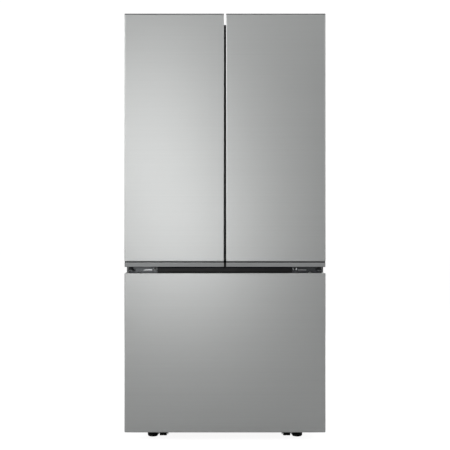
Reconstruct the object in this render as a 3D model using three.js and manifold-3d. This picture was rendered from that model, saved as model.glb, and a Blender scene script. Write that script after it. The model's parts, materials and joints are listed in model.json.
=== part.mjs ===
// A bottom-freezer refrigerator with two french doors over one pull-out freezer drawer.
//
// Millimetres. X runs to the right, Y to the back and Z up. The origin is on the floor, under the
// middle of the object's box. Every piece is modelled closed and at rest: doors shut, drawers in.
import * as THREE from "three";
import { mergeVertices } from "three/addons/utils/BufferGeometryUtils.js";
import Module from "manifold-3d";

const wasm = await Module();
wasm.setup();

// ---------------------------------------------------------------- driving dimensions
const WIDTH = 832; // across the doors
const DEPTH = 848; // door front to back panel
const HEIGHT = 1770; // floor to the top of the doors
const TOUCH = 0.3; // left between two pieces that rest on each other
const SHEET = 1.5; // steel sheet
const WALL = 3; // moulded plastic wall

const FRONT_Y = -DEPTH / 2;
const BACK_Y = DEPTH / 2;
const DOOR_DEPTH = 84; // front skin to inner panel
const GASKET_DEPTH = 14;
const DOOR_BACK_Y = FRONT_Y + DOOR_DEPTH;
const CASE_FRONT_Y = DOOR_BACK_Y + GASKET_DEPTH + 1;
const CASE_HALF = WIDTH / 2 - 2;
const CASE_TOP = HEIGHT - 30; // the doors stand above the case and hide the hinges
const CASE_BOTTOM = 60;

const DOOR_HALF_GAP = 4; // half the slit between the two doors
const DOOR_BOTTOM = 722;
const SKIN_BOTTOM = 745; // the door's steel skin stops above its handle strip
const DRAWER_TOP = 697;
const DRAWER_BOTTOM = 38;
const SKIN = 1.2; // stainless sheet of the doors
const SKIN_RADIUS = 3;

const PIN_X = WIDTH / 2 - 24; // door hinge axis, from the middle
const PIN_Y = FRONT_Y + 44;
const PIN_RADIUS = 5;
const ARM_RADIUS = 14;

const LINER_HALF = 367; // inside half width of both compartments
const LINER_BACK = 347; // inside back wall
const LINER_FLANGE = 15;
const FRIDGE_FLOOR = 765;
const FRIDGE_CEILING = 1690;
const FREEZER_FLOOR = 103;
const FREEZER_CEILING = 653;
const FREEZER_LOW_BACK = 100; // the freezer is shallower below, in front of the compressor
const HUMP_TOP = 372;
const MACHINE_FRONT = 148;
const MACHINE_TOP = 332;

const FRONT_ROW_Y = -285; // front feet and rollers
const REAR_ROW_Y = 360;
const FOOT_X = 306;
const FRONT_ROLLER_X = 262;
const REAR_ROLLER_X = 330;

const RAIL_Z = 310; // middle of the freezer drawer's slides
const RAIL_FRONT = -310;
const RAIL_BACK = 90;

// ---------------------------------------------------------------- materials
const material = (color, roughness, metalness) =>
  new THREE.MeshStandardMaterial({ color, roughness, metalness });
const stainless = material(0xc4c6c5, 0.32, 1);
const handleTrim = material(0x7f8180, 0.35, 0.6);
const casePaint = material(0x8b8d8e, 0.5, 0.2);
const railPaint = material(0x2b2c2e, 0.5, 0.1);
const zinc = material(0xb9bcc0, 0.35, 1);
const darkPlastic = material(0x303234, 0.55, 0);
const capPlastic = material(0x56585a, 0.5, 0);
const linerPlastic = material(0xf1f3f3, 0.35, 0);
const gasketRubber = material(0xb4b7b8, 0.7, 0);
const clearPlastic = new THREE.MeshStandardMaterial({
  color: 0xe4eef2,
  roughness: 0.1,
  metalness: 0,
  transparent: true,
  opacity: 0.45,
});
const shelfGlass = new THREE.MeshStandardMaterial({
  color: 0xd8e8e6,
  roughness: 0.05,
  metalness: 0,
  transparent: true,
  opacity: 0.4,
});
const foam = material(0xe6d9a8, 0.9, 0);
const aluminium = material(0xc9ccce, 0.4, 1);
const compressorPaint = material(0x17181a, 0.35, 0.3);
const galvanised = material(0xa5a9ab, 0.45, 0.9);
const blackRubber = material(0x1b1b1c, 0.8, 0);

// ---------------------------------------------------------------- solids and booleans
function toSolid(geometry) {
  const bare = geometry.clone();
  bare.deleteAttribute("normal");
  bare.deleteAttribute("uv");
  const merged = mergeVertices(bare, 1e-3);
  return new wasm.Manifold(
    new wasm.Mesh({
      numProp: 3,
      vertProperties: merged.attributes.position.array,
      triVerts: new Uint32Array(merged.index.array),
    }),
  );
}

function toGeometry(solid) {
  const { vertProperties, triVerts } = solid.getMesh();
  const geometry = new THREE.BufferGeometry();
  geometry.setAttribute("position", new THREE.BufferAttribute(vertProperties, 3));
  geometry.setIndex(new THREE.BufferAttribute(triVerts, 1));
  geometry.computeVertexNormals();
  return geometry;
}

const join = (...geometries) => toGeometry(geometries.map(toSolid).reduce((a, b) => a.add(b)));
const cut = (body, ...tools) =>
  toGeometry(tools.map(toSolid).reduce((a, b) => a.subtract(b), toSolid(body)));

// A block between two values on each axis, given in either order.
function block([x0, x1], [y0, y1], [z0, z1]) {
  const box = new THREE.BoxGeometry(Math.abs(x1 - x0), Math.abs(y1 - y0), Math.abs(z1 - z0));
  return box.translate((x0 + x1) / 2, (y0 + y1) / 2, (z0 + z1) / 2);
}

const grown = ([a, b], by) => (a < b ? [a - by, b + by] : [a + by, b - by]);

// A block with the same wall all round and its top open.
function openBox(x, y, z, wall = WALL) {
  const inside = block(grown(x, -wall), grown(y, -wall), [z[0] + wall, z[1] + wall]);
  return cut(block(x, y, z), inside);
}

// A flat ring in the XZ plane: a frame with one band all round.
function frameRing([x0, x1], y, [z0, z1], band) {
  return cut(
    block([x0, x1], y, [z0, z1]),
    block(grown([x0, x1], -band), grown(y, 1), grown([z0, z1], -band)),
  );
}

function cylinder(radius, [from, to], axis, [x, y, z], sides = 24) {
  const geometry = new THREE.CylinderGeometry(radius, radius, Math.abs(to - from), sides);
  const middle = (from + to) / 2;
  if (axis === "x") return geometry.rotateZ(-Math.PI / 2).translate(middle, y, z);
  if (axis === "z") return geometry.rotateX(Math.PI / 2).translate(x, y, middle);
  return geometry.translate(x, middle, z);
}

// A closed outline of [y, z] points, pushed along X.
function alongX(points, [x0, x1]) {
  const shape = new THREE.Shape(points.map(([y, z]) => new THREE.Vector2(y, z)));
  const geometry = new THREE.ExtrudeGeometry(shape, { depth: x1 - x0, bevelEnabled: false });
  const turn = new THREE.Matrix4().makeBasis(
    new THREE.Vector3(0, 1, 0),
    new THREE.Vector3(0, 0, 1),
    new THREE.Vector3(1, 0, 0),
  );
  return geometry.applyMatrix4(turn).translate(x0, 0, 0);
}

function piece(name, geometry, finish) {
  const mesh = new THREE.Mesh(geometry, finish);
  mesh.name = name;
  return mesh;
}

const group = (...children) => new THREE.Group().add(...children);
const SIDES = [
  ["left", -1],
  ["right", 1],
];

// ---------------------------------------------------------------- case, liners and insulation
function outerCase() {
  const flangeInner = LINER_HALF + LINER_FLANGE + 0.5;
  return cut(
    block([-CASE_HALF, CASE_HALF], [CASE_FRONT_Y, BACK_Y], [CASE_BOTTOM, CASE_TOP]),
    block(
      [SHEET - CASE_HALF, CASE_HALF - SHEET],
      [CASE_FRONT_Y + SHEET, BACK_Y + 1],
      [CASE_BOTTOM - 1, CASE_TOP - SHEET],
    ),
    block(
      [-flangeInner, flangeInner],
      [CASE_FRONT_Y - 1, CASE_FRONT_Y + 2 * SHEET],
      [CASE_BOTTOM - 1, FRIDGE_CEILING + LINER_FLANGE + 0.5],
    ),
  );
}

const INNER_HALF = CASE_HALF - SHEET - TOUCH; // what fits between the case's side walls

function backPanel() {
  return block(
    [-INNER_HALF, INNER_HALF],
    [BACK_Y - SHEET, BACK_Y],
    [MACHINE_TOP + 2, CASE_TOP - SHEET - TOUCH],
  );
}

// One pair of cheeks and an axle that hold a roller under the base.
function rollerBracket(x, y, axleZ) {
  const cheekSides = [-1, 1].map((side) =>
    block([x + side * 18, x + side * 21], [y - 14, y + 14], [axleZ - 8, CASE_BOTTOM + 1]),
  );
  return [...cheekSides, cylinder(4, [x - 20, x + 20], "x", [x, y, axleZ], 16)];
}

const FRONT_ROLLER = { radius: 15, z: 17.5 }; // clear of the floor while the feet are down
const REAR_ROLLER = { radius: 18, z: 18 };

function baseFrame() {
  const across = [-INNER_HALF, INNER_HALF];
  const toBack = BACK_Y - SHEET - TOUCH;
  const floorPlate = block(across, [CASE_FRONT_Y + 2, toBack], [CASE_BOTTOM, CASE_BOTTOM + 2]);
  const frontRail = block([-382, 382], [CASE_FRONT_Y, CASE_FRONT_Y + 3], [CASE_BOTTOM, 99]);
  const machineWall = block(across, [MACHINE_FRONT, MACHINE_FRONT + 2], [CASE_BOTTOM, MACHINE_TOP]);
  const machineRoof = block(across, [MACHINE_FRONT, toBack], [MACHINE_TOP - 2, MACHINE_TOP]);
  const underneath = SIDES.flatMap(([, side]) => [
    ...rollerBracket(side * FRONT_ROLLER_X, FRONT_ROW_Y, FRONT_ROLLER.z),
    ...rollerBracket(side * REAR_ROLLER_X, REAR_ROW_Y, REAR_ROLLER.z),
    block(
      [side * FOOT_X - 14, side * FOOT_X + 14],
      [FRONT_ROW_Y - 14, FRONT_ROW_Y + 14],
      [44, CASE_BOTTOM + 1],
    ),
  ]);
  const whole = join(floorPlate, frontRail, machineWall, machineRoof, ...underneath);
  const studHoles = SIDES.map(([, side]) =>
    cylinder(5.6, [40, CASE_BOTTOM + 4], "z", [side * FOOT_X, FRONT_ROW_Y, 0], 20),
  );
  return cut(whole, ...studHoles);
}

const LINER_FRONT = [CASE_FRONT_Y, CASE_FRONT_Y + WALL]; // liner flanges and the centre rail

// A pair of ledges moulded into the side walls of a liner.
const ledges = (reach, y, z) =>
  SIDES.map(([, side]) => block([side * (LINER_HALF + 1), side * reach], y, [z - 10, z]));

const CRISPER_LEDGE = 886;
const COVER_LEDGE = 1077.5;

function fridgeLiner() {
  const half = LINER_HALF;
  const outside = block(
    [-half - WALL, half + WALL],
    [CASE_FRONT_Y, LINER_BACK + WALL],
    [FRIDGE_FLOOR - WALL, FRIDGE_CEILING + WALL],
  );
  const flange = block(
    [-half - LINER_FLANGE, half + LINER_FLANGE],
    LINER_FRONT,
    [FRIDGE_FLOOR - LINER_FLANGE, FRIDGE_CEILING + LINER_FLANGE],
  );
  const inside = block(
    [-half, half],
    [CASE_FRONT_Y - 1, LINER_BACK],
    [FRIDGE_FLOOR, FRIDGE_CEILING],
  );
  const shell = cut(join(outside, flange), inside);
  return join(
    shell,
    ...ledges(344, [-120, 330], CRISPER_LEDGE),
    ...ledges(357, [-120, 330], COVER_LEDGE),
  );
}

// The freezer compartment's outline in [y, z], grown outwards by a wall.
const freezerOutline = (grow, front) => [
  [front, FREEZER_FLOOR - grow],
  [FREEZER_LOW_BACK + grow, FREEZER_FLOOR - grow],
  [FREEZER_LOW_BACK + grow, HUMP_TOP - grow],
  [LINER_BACK + grow, HUMP_TOP - grow],
  [LINER_BACK + grow, FREEZER_CEILING + grow],
  [front, FREEZER_CEILING + grow],
];

const BASKET_LEDGE = 598; // the upper freezer drawer runs on it

function freezerLiner() {
  const half = LINER_HALF;
  const outside = alongX(freezerOutline(WALL, CASE_FRONT_Y), [-half - WALL, half + WALL]);
  const flange = block(
    [-half - LINER_FLANGE, half + LINER_FLANGE],
    LINER_FRONT,
    [FREEZER_FLOOR - WALL, FREEZER_CEILING + LINER_FLANGE],
  );
  const inside = alongX(freezerOutline(0, CASE_FRONT_Y - 1), [-half, half]);
  const shell = cut(join(outside, flange), inside);
  return join(shell, ...ledges(345, [-230, 250], BASKET_LEDGE));
}

const centreRail = () =>
  block(
    [-LINER_HALF - LINER_FLANGE, LINER_HALF + LINER_FLANGE],
    LINER_FRONT,
    [FREEZER_CEILING + LINER_FLANGE + TOUCH, FRIDGE_FLOOR - LINER_FLANGE - TOUCH],
  );

function insulation() {
  const keep = WALL + TOUCH;
  const frontY = CASE_FRONT_Y + WALL + TOUCH;
  const filling = block(
    [-INNER_HALF, INNER_HALF],
    [frontY, BACK_Y - SHEET - TOUCH],
    [CASE_BOTTOM + 2 + TOUCH, CASE_TOP - SHEET - TOUCH],
  );
  return cut(
    filling,
    block(
      [-LINER_HALF - keep, LINER_HALF + keep],
      [frontY - 1, LINER_BACK + keep],
      [FRIDGE_FLOOR - keep, FRIDGE_CEILING + keep],
    ),
    alongX(freezerOutline(keep, frontY - 1), [-LINER_HALF - keep, LINER_HALF + keep]),
    block([-CASE_HALF, CASE_HALF], [MACHINE_FRONT - TOUCH, BACK_Y], [0, MACHINE_TOP + TOUCH]),
  );
}

// ---------------------------------------------------------------- door hinges
function hingeArm(side, y, z) {
  const x = side * PIN_X;
  return [
    block([x - ARM_RADIUS, x + ARM_RADIUS], [PIN_Y, y], z),
    cylinder(ARM_RADIUS, z, "z", [x, PIN_Y, 0]),
  ];
}

// A plate screwed on the case top, with an arm over the door and a pin down into it.
function upperHinge(side) {
  const z = [CASE_TOP + TOUCH, CASE_TOP + TOUCH + 4];
  return join(
    block([side * 300, side * (PIN_X + ARM_RADIUS)], [-318, -225], z),
    ...hingeArm(side, -317, z),
    cylinder(PIN_RADIUS, [CASE_TOP - 34, z[1]], "z", [side * PIN_X, PIN_Y, 0], 20),
  );
}

// A moulded cover clipped over the upper hinge, open underneath.
function hingeCover(side) {
  const top = HEIGHT - 4;
  const wall = 2;
  const rear = { x: [side * 292, side * 411], y: [-322, -215] };
  const nose = { x: [side * 373.5, side * 410.5], y: [PIN_Y - 18, -321] };
  const shell = join(
    block(rear.x, rear.y, [CASE_TOP + TOUCH, top]),
    block(nose.x, nose.y, [CASE_TOP + TOUCH, top]),
  );
  const hollow = [CASE_TOP - 1, top - wall];
  return cut(
    shell,
    block(grown(rear.x, -wall), grown(rear.y, -wall), hollow),
    block(grown(nose.x, -wall), [nose.y[0] + wall, -317], hollow),
  );
}

// An angle screwed to the centre rail, whose pin carries the door from below.
function middleHinge(side) {
  const plate = block(
    [side * 284, side * (PIN_X + ARM_RADIUS)],
    [CASE_FRONT_Y - TOUCH - 3, CASE_FRONT_Y - TOUCH],
    [686, 734],
  );
  const armZ = [704, 708];
  const x = side * PIN_X;
  return join(
    plate,
    ...hingeArm(side, CASE_FRONT_Y - 1, armZ),
    cylinder(PIN_RADIUS, [armZ[0], 742], "z", [x, PIN_Y, 0], 20),
  );
}

// ---------------------------------------------------------------- french doors
// Plan outline of a door's front and sides, drawn a sheet's thickness inside the outer face for
// the hollow. It runs past the back where it cuts the hollow open.
function skinOutline([left, right], inset, back) {
  const r = SKIN_RADIUS;
  const shape = new THREE.Shape();
  shape.moveTo(left + inset, back);
  shape.lineTo(left + inset, FRONT_Y + r);
  shape.absarc(left + r, FRONT_Y + r, r - inset, Math.PI, 1.5 * Math.PI, false);
  shape.lineTo(right - r, FRONT_Y + inset);
  shape.absarc(right - r, FRONT_Y + r, r - inset, 1.5 * Math.PI, 2 * Math.PI, false);
  shape.lineTo(right - inset, back);
  return shape;
}

const upright = (shape, [z0, z1]) =>
  new THREE.ExtrudeGeometry(shape, {
    depth: z1 - z0,
    bevelEnabled: false,
    curveSegments: 4,
  }).translate(0, 0, z0);

const doorSpan = (side) =>
  side < 0 ? [-WIDTH / 2, -DOOR_HALF_GAP] : [DOOR_HALF_GAP, WIDTH / 2];

// The corner left out of a door's top, in which the hinge arm and its cover turn.
const NOTCH = { inner: 364, front: FRONT_Y + 10, floor: CASE_TOP - 4 };
const notch = (side) =>
  block(
    [side * NOTCH.inner, side * (WIDTH / 2 + 1)],
    [NOTCH.front, DOOR_BACK_Y + 1],
    [NOTCH.floor, HEIGHT + 1],
  );

// A sheet folded round the front and both sides, hollow between the two heights given.
const foldedSkin = (span, outer, hollow) =>
  cut(
    upright(skinOutline(span, 0, DOOR_BACK_Y), outer),
    upright(skinOutline(span, SKIN, DOOR_BACK_Y + 1), hollow),
  );

const doorSkin = (side) =>
  cut(
    foldedSkin(doorSpan(side), [SKIN_BOTTOM, HEIGHT], [SKIN_BOTTOM - 1, HEIGHT - SKIN]),
    notch(side),
  );

const CAP_TOP = 760; // the handle cap reaches up inside the skin

// The strip under a door, with a finger pocket behind it and a bush for the lower hinge pin.
function handleCap(side) {
  const [left, right] = doorSpan(side);
  const strip = alongX(
    [
      [FRONT_Y + 3, SKIN_BOTTOM - 4],
      [FRONT_Y + 7, DOOR_BOTTOM],
      [DOOR_BACK_Y - 0.5, DOOR_BOTTOM],
      [DOOR_BACK_Y - 0.5, SKIN_BOTTOM - 4],
    ],
    [left + 0.5, right - 0.5],
  );
  const inset = SKIN + TOUCH;
  const root = block(
    [left + inset, right - inset],
    [FRONT_Y + 6, DOOR_BACK_Y - 0.5],
    [SKIN_BOTTOM - 5, CAP_TOP],
  );
  const pocket = block([side * 40, side * 280], [FRONT_Y + 22, DOOR_BACK_Y - 14], [700, 752]);
  const bush = cylinder(PIN_RADIUS + 0.6, [700, 748], "z", [side * PIN_X, PIN_Y, 0]);
  return cut(join(strip, root), pocket, bush);
}

const DYKE = { inner: 56, outer: 355, low: 775, high: 1680, back: -285, band: 18 };
const FLAP_PIVOT = { x: -38, y: -312 };

// The moulded inner panel with the foam behind it. A raised dyke round it carries the bins.
function doorLiner(side) {
  const [left, right] = doorSpan(side);
  const inset = SKIN + TOUCH;
  const slab = block(
    [left + inset, right - inset],
    [FRONT_Y + SKIN_RADIUS, DOOR_BACK_Y - 0.5],
    [CAP_TOP + TOUCH, HEIGHT - inset],
  );
  const dykeX = side < 0 ? [-DYKE.outer, -DYKE.inner] : [DYKE.inner, DYKE.outer];
  const dyke = frameRing(dykeX, [DOOR_BACK_Y - 3, DYKE.back], [DYKE.low, DYKE.high], DYKE.band);
  const bush = cylinder(PIN_RADIUS + 0.6, [1700, CASE_TOP], "z", [side * PIN_X, PIN_Y, 0]);
  const solid = cut(join(slab, dyke), notch(side), bush);
  return side < 0 ? cut(join(solid, ...flapLugs()), ...flapLugHoles()) : solid;
}

const LUG_LEVELS = [
  [780, 788],
  [1668, 1676],
];
const flapLugs = () => LUG_LEVELS.map((z) => block([-60, -29], [-322, -300], z));
const flapLugHoles = () =>
  LUG_LEVELS.map((z) => cylinder(4.6, grown(z, 1), "z", [FLAP_PIVOT.x, FLAP_PIVOT.y, 0]));

const GASKET_BAND = 20;
const doorGasket = (side) =>
  frameRing(
    side < 0 ? [-400, -10] : [10, 400],
    [DOOR_BACK_Y - 0.2, DOOR_BACK_Y + GASKET_DEPTH],
    [DOOR_BOTTOM + 16, CASE_TOP - 6],
    GASKET_BAND,
  );

// The hinged bar that closes the slit between the doors. It is modelled folded back.
function mullionFlap() {
  const { x, y } = FLAP_PIVOT;
  const bar = block([x - 9, x + 13], [y - 6, y + 72], [792, 1664]);
  const pins = cylinder(4, [781, 1675], "z", [x, y, 0], 16);
  return join(bar, pins);
}

// A door bin, with its origin at the middle of its bottom back edge.
const BIN = { width: 257, depth: 108, height: 95 };
const BIN_X = (DYKE.inner + DYKE.outer) / 2;

function doorBin(name, side, z) {
  const half = BIN.width / 2;
  const tub = openBox([-half, half], [0, BIN.depth], [0, BIN.height]);
  const lip = block([-half, half], [BIN.depth - 5, BIN.depth + 2], [BIN.height - 16, BIN.height]);
  const mesh = piece(name, join(tub, lip), clearPlastic);
  mesh.position.set(side * BIN_X, DOOR_BACK_Y + 2, z);
  return mesh;
}

// The dairy box on the right door. Its side walls rise at the back to take the lid's pins.
const DAIRY = { bottom: 1430, rim: 1536 };
const LID_AXIS = { y: DOOR_BACK_Y + 7, z: DAIRY.rim + 3.5 };

function dairyBox() {
  const x = [77, 334];
  const y = [DOOR_BACK_Y + 2, DOOR_BACK_Y + 106];
  const tub = openBox(x, y, [DAIRY.bottom, DAIRY.rim]);
  const lowFront = block(
    [x[0] + WALL, x[1] - WALL],
    [y[1] - 4, y[1] + 1],
    [DAIRY.rim - 41, DAIRY.rim + 4],
  );
  const ears = [
    [x[0], x[0] + WALL],
    [x[1] - WALL, x[1]],
  ].map((ear) => block(ear, [y[0], y[0] + 11], [DAIRY.rim - 16, DAIRY.rim + 11]));
  const pinHole = cylinder(3.5, [70, 340], "x", [0, LID_AXIS.y, LID_AXIS.z], 16);
  return cut(join(tub, ...ears), lowFront, pinHole);
}

function dairyLid() {
  const x = [82, 329];
  const top = block(x, [LID_AXIS.y - 2, DOOR_BACK_Y + 111], [DAIRY.rim + 2, DAIRY.rim + 5]);
  const front = block(
    x,
    [DOOR_BACK_Y + 108, DOOR_BACK_Y + 111],
    [DAIRY.rim - 44, DAIRY.rim + 5],
  );
  const pin = cylinder(2.6, [77.8, 333.2], "x", [0, LID_AXIS.y, LID_AXIS.z], 12);
  return join(top, front, pin);
}

// ---------------------------------------------------------------- freezer drawer
const drawerSpan = [-WIDTH / 2, WIDTH / 2];
const DRAWER_CAP_BOTTOM = 640;
const PLATEAU_BACK = -322;

const drawerSkin = () =>
  foldedSkin(drawerSpan, [DRAWER_BOTTOM, DRAWER_TOP], [DRAWER_BOTTOM + SKIN, DRAWER_TOP + 1]);

const drawerInset = [drawerSpan[0] + SKIN + TOUCH, drawerSpan[1] - SKIN - TOUCH];
const drawerSlabY = [FRONT_Y + SKIN_RADIUS, DOOR_BACK_Y - 0.5];

// The cap along the drawer's top edge, with the finger groove that opens it.
function drawerHandleCap() {
  return cut(
    block(drawerInset, drawerSlabY, [DRAWER_CAP_BOTTOM, DRAWER_TOP - 2]),
    block([-330, 330], [FRONT_Y + 16, DOOR_BACK_Y - 16], [660, DRAWER_TOP + 1]),
  );
}

function drawerLiner() {
  return join(
    block(drawerInset, drawerSlabY, [DRAWER_BOTTOM + SKIN + TOUCH, DRAWER_CAP_BOTTOM - TOUCH]),
    block([-352, 352], [DOOR_BACK_Y - 3, PLATEAU_BACK], [120, 636]),
  );
}

const drawerGasket = () =>
  frameRing(
    [-400, 400],
    [DOOR_BACK_Y - 0.2, DOOR_BACK_Y + GASKET_DEPTH],
    [72, DRAWER_TOP - 16],
    GASKET_BAND,
  );

// The fixed C-shaped member of a slide, on the compartment's side wall.
function outerRail(side) {
  const web = LINER_HALF - TOUCH;
  const along = [RAIL_FRONT, RAIL_BACK];
  return cut(
    block([side * web, side * (web - 12)], along, [RAIL_Z - 20, RAIL_Z + 20]),
    block([side * (web - 2), side * (web - 13)], grown(along, 1), [RAIL_Z - 18, RAIL_Z + 18]),
  );
}

// Both middle members, which travel half as far as the drawer, tied by a bar at the back.
const middleSlide = () =>
  join(
    ...SIDES.map(([, side]) =>
      block(
        [side * 363.5, side * 353.5],
        [RAIL_FRONT + 2, RAIL_BACK + 2],
        [RAIL_Z - 14, RAIL_Z + 14],
      ),
    ),
    block([-354, 354], [RAIL_BACK - 6, RAIL_BACK + 2], [RAIL_Z - 10, RAIL_Z + 2]),
  );

// Both inner members, bolted to the drawer front and tied at the back.
const innerSlide = () =>
  join(
    ...SIDES.flatMap(([, side]) => [
      block([side * 352.5, side * 345.5], [PLATEAU_BACK + 1, RAIL_BACK - 7], [300, 320]),
      block(
        [side * 351.5, side * 330],
        [PLATEAU_BACK + TOUCH, PLATEAU_BACK + TOUCH + 2.5],
        [284, 336],
      ),
    ]),
    block([-346, 346], [RAIL_BACK - 9.5, RAIL_BACK - 7], [RAIL_Z - 10, RAIL_Z + 2]),
  );

// The deep basket, hung by a ledge along each side on the inner slides.
function freezerBasket() {
  const y = [-316, 80];
  return join(
    openBox([-339, 339], y, [112, 440]),
    ...SIDES.map(([, side]) => block([side * 338, side * 352], y, [320.5, 324.5])),
  );
}

function upperFreezerDrawer() {
  const y = [-180, 236];
  return join(
    openBox([-338, 338], y, [478, 632]),
    ...SIDES.map(([, side]) =>
      block([side * 337, side * 362], y, [BASKET_LEDGE + 0.5, BASKET_LEDGE + 4.5]),
    ),
  );
}

// ---------------------------------------------------------------- fresh food interior
// The rear air panel: a plate with a raised duct and three slotted uprights for the shelves.
function airPanel() {
  const plate = block([-360, 360], [LINER_BACK - 3.5, LINER_BACK - 0.5], [1104, 1684]);
  const duct = block([-120, 120], [318, LINER_BACK - 3], [1104, 1660]);
  const uprights = [-345, 345].map((x) =>
    block([x - 7, x + 7], [337.5, LINER_BACK - 3], [1110, 1650]),
  );
  const middle = block([-7, 7], [312, 319], [1110, 1650]);
  const outlets = [1180, 1330, 1490, 1620].flatMap((z) =>
    SIDES.map(([, side]) => block([side * 40, side * 100], [316, 326], [z - 6, z + 6])),
  );
  return cut(join(plate, duct, ...uprights, middle), ...outlets);
}

// A glass shelf in its trim, on two brackets that hook into the uprights at bracketX.
function shelf([x0, x1], z, brackets) {
  return join(
    block([x0, x1], [-190, 306], [z, z + 6]),
    block([x0, x1], [-192, -176], [z - 6, z + 10]),
    block([x0, x1], [298, 308], [z, z + 14]),
    ...brackets.map(([x, back]) => block([x - 2, x + 2], [-60, back], [z - 20, z + 1])),
  );
}

const SHELF_HALF = 358;
const OUTER_BRACKET = [345, 337.2];
const MIDDLE_BRACKET = [5.5, 311.7];
const mirrored = ([x, back], side) => [side * x, back];

function upperShelf(side) {
  const span = side < 0 ? [-SHELF_HALF, -3] : [3, SHELF_HALF];
  const brackets = [mirrored(OUTER_BRACKET, side), mirrored(MIDDLE_BRACKET, side)];
  return shelf(span, 1440, brackets);
}

const middleShelf = () =>
  shelf(
    [-SHELF_HALF, SHELF_HALF],
    1260,
    [-1, 1].map((side) => mirrored(OUTER_BRACKET, side)),
  );

const CRISPER = { x: [5, 354], y: [-130, 300], z: [CRISPER_LEDGE + 0.5, 1066] };

// The glass over the crispers, with the hanger between them that carries their inner edges.
const crisperCover = () =>
  join(
    block([-SHELF_HALF - 5, SHELF_HALF + 5], [-150, 330], [COVER_LEDGE + 0.5, COVER_LEDGE + 8]),
    block([-SHELF_HALF - 5, SHELF_HALF + 5], [-156, -140], [COVER_LEDGE + 0.5, COVER_LEDGE + 16]),
    block([-1.5, 1.5], [-120, 330], [880, COVER_LEDGE + 2]),
    block([-16, 16], [-120, 330], [880, CRISPER_LEDGE]),
  );

// A produce drawer with a taller front and a grip rail along its top.
function drawerTub(x, y, [low, high]) {
  return join(
    openBox(x, y, [low, high - 12]),
    block(x, [y[0], y[0] + 4], [low, high]),
    block(x, [y[0] - 10, y[0] + 4], [high - 26, high - 20]),
  );
}

const crisper = (side) =>
  drawerTub([side * CRISPER.x[0], side * CRISPER.x[1]].sort((a, b) => a - b), CRISPER.y, CRISPER.z);

const pantryDrawer = () => drawerTub([-350, 350], CRISPER.y, [FRIDGE_FLOOR + 4, 872]);

// ---------------------------------------------------------------- cooling system
// A propeller on a hub, spinning about local Z, with a bore for the motor's shaft.
function propeller(radius, blades, thickness) {
  const hubRadius = 20;
  const blade = (i) =>
    new THREE.BoxGeometry(radius - hubRadius + 6, radius * 0.62, 2)
      .rotateX(0.5)
      .translate((radius + hubRadius - 6) / 2, 0, 0)
      .rotateZ((i / blades) * 2 * Math.PI);
  const hub = cylinder(hubRadius, [-thickness / 2, thickness / 2], "z", [0, 0, 0], 28);
  const whole = join(hub, ...Array.from({ length: blades }, (_, i) => blade(i)));
  return cut(whole, cylinder(3.6, [-thickness, thickness], "z", [0, 0, 0], 16));
}

const EVAP_FAN = { y: 277, z: 586, radius: 54 };

// The panel over the evaporator, with the fan's opening, its spokes and motor shaft.
function evaporatorCover() {
  const y = [255, 258];
  const { z, radius } = EVAP_FAN;
  const opening = cylinder(radius + 8, [250, 262], "y", [0, 0, z], 40);
  const plate = block([-366, 366], y, [HUMP_TOP + 1, FREEZER_CEILING - 1]);
  const slots = [400, 425, 450, 475].flatMap((level) =>
    SIDES.map(([, side]) => block([side * 40, side * 320], [250, 262], [level, level + 9])),
  );
  const spokes = [0, 1, 2].map((i) =>
    block([0, radius + 10], y, [-3, 3])
      .rotateY((i / 3) * 2 * Math.PI + 0.5)
      .translate(0, 0, z),
  );
  return join(
    cut(plate, opening, ...slots),
    ...spokes,
    cylinder(20, [255, 264], "y", [0, 0, z], 28),
    cylinder(3, [260, 290], "y", [0, 0, z], 12),
  );
}

// Plate fins on a header at each end.
function finBlock([x0, x1], y, z, fins, thickness) {
  const pitch = (x1 - x0 - thickness) / (fins - 1);
  const plates = Array.from({ length: fins }, (_, i) =>
    block([x0 + i * pitch, x0 + i * pitch + thickness], y, z),
  );
  const tubeY = [y[0] + (y[1] - y[0]) * 0.3, y[0] + (y[1] - y[0]) * 0.7];
  const tubeZ = [z[0] + (z[1] - z[0]) * 0.2, z[0] + (z[1] - z[0]) * 0.8];
  const tubes = tubeY.flatMap((ty) =>
    tubeZ.map((tz) => block([x0, x1], [ty - 4, ty + 4], [tz - 4, tz + 4])),
  );
  return join(...plates, ...tubes);
}

const evaporator = () => finBlock([-300, 300], [272, 334], [HUMP_TOP + 8, 515], 15, 4);

// A hermetic compressor: a domed pot on a foot plate, with four rubber mounts.
function compressor() {
  const pot = new THREE.LatheGeometry(
    [
      [0, 0],
      [62, 0],
      [74, 10],
      [76, 30],
      [76, 88],
      [80, 90],
      [80, 98],
      [76, 100],
      [74, 130],
      [60, 160],
      [34, 176],
      [0, 180],
    ].map(([r, h]) => new THREE.Vector2(r, h)),
    28,
  )
    .rotateX(Math.PI / 2)
    .translate(0, 0, 74);
  const footPlate = block([-105, 105], [-62, 62], [70, 76]);
  const mounts = [-1, 1].flatMap((a) =>
    [-1, 1].map((b) => cylinder(11, [62 + TOUCH, 72], "z", [a * 88, b * 46, 0], 16)),
  );
  const terminalBox = block([60, 96], [-24, 24], [120, 180]);
  return join(pot, footPlate, ...mounts, terminalBox);
}

const COND_FAN = { x: 22, y: 290, z: 162, radius: 74 };

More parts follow.
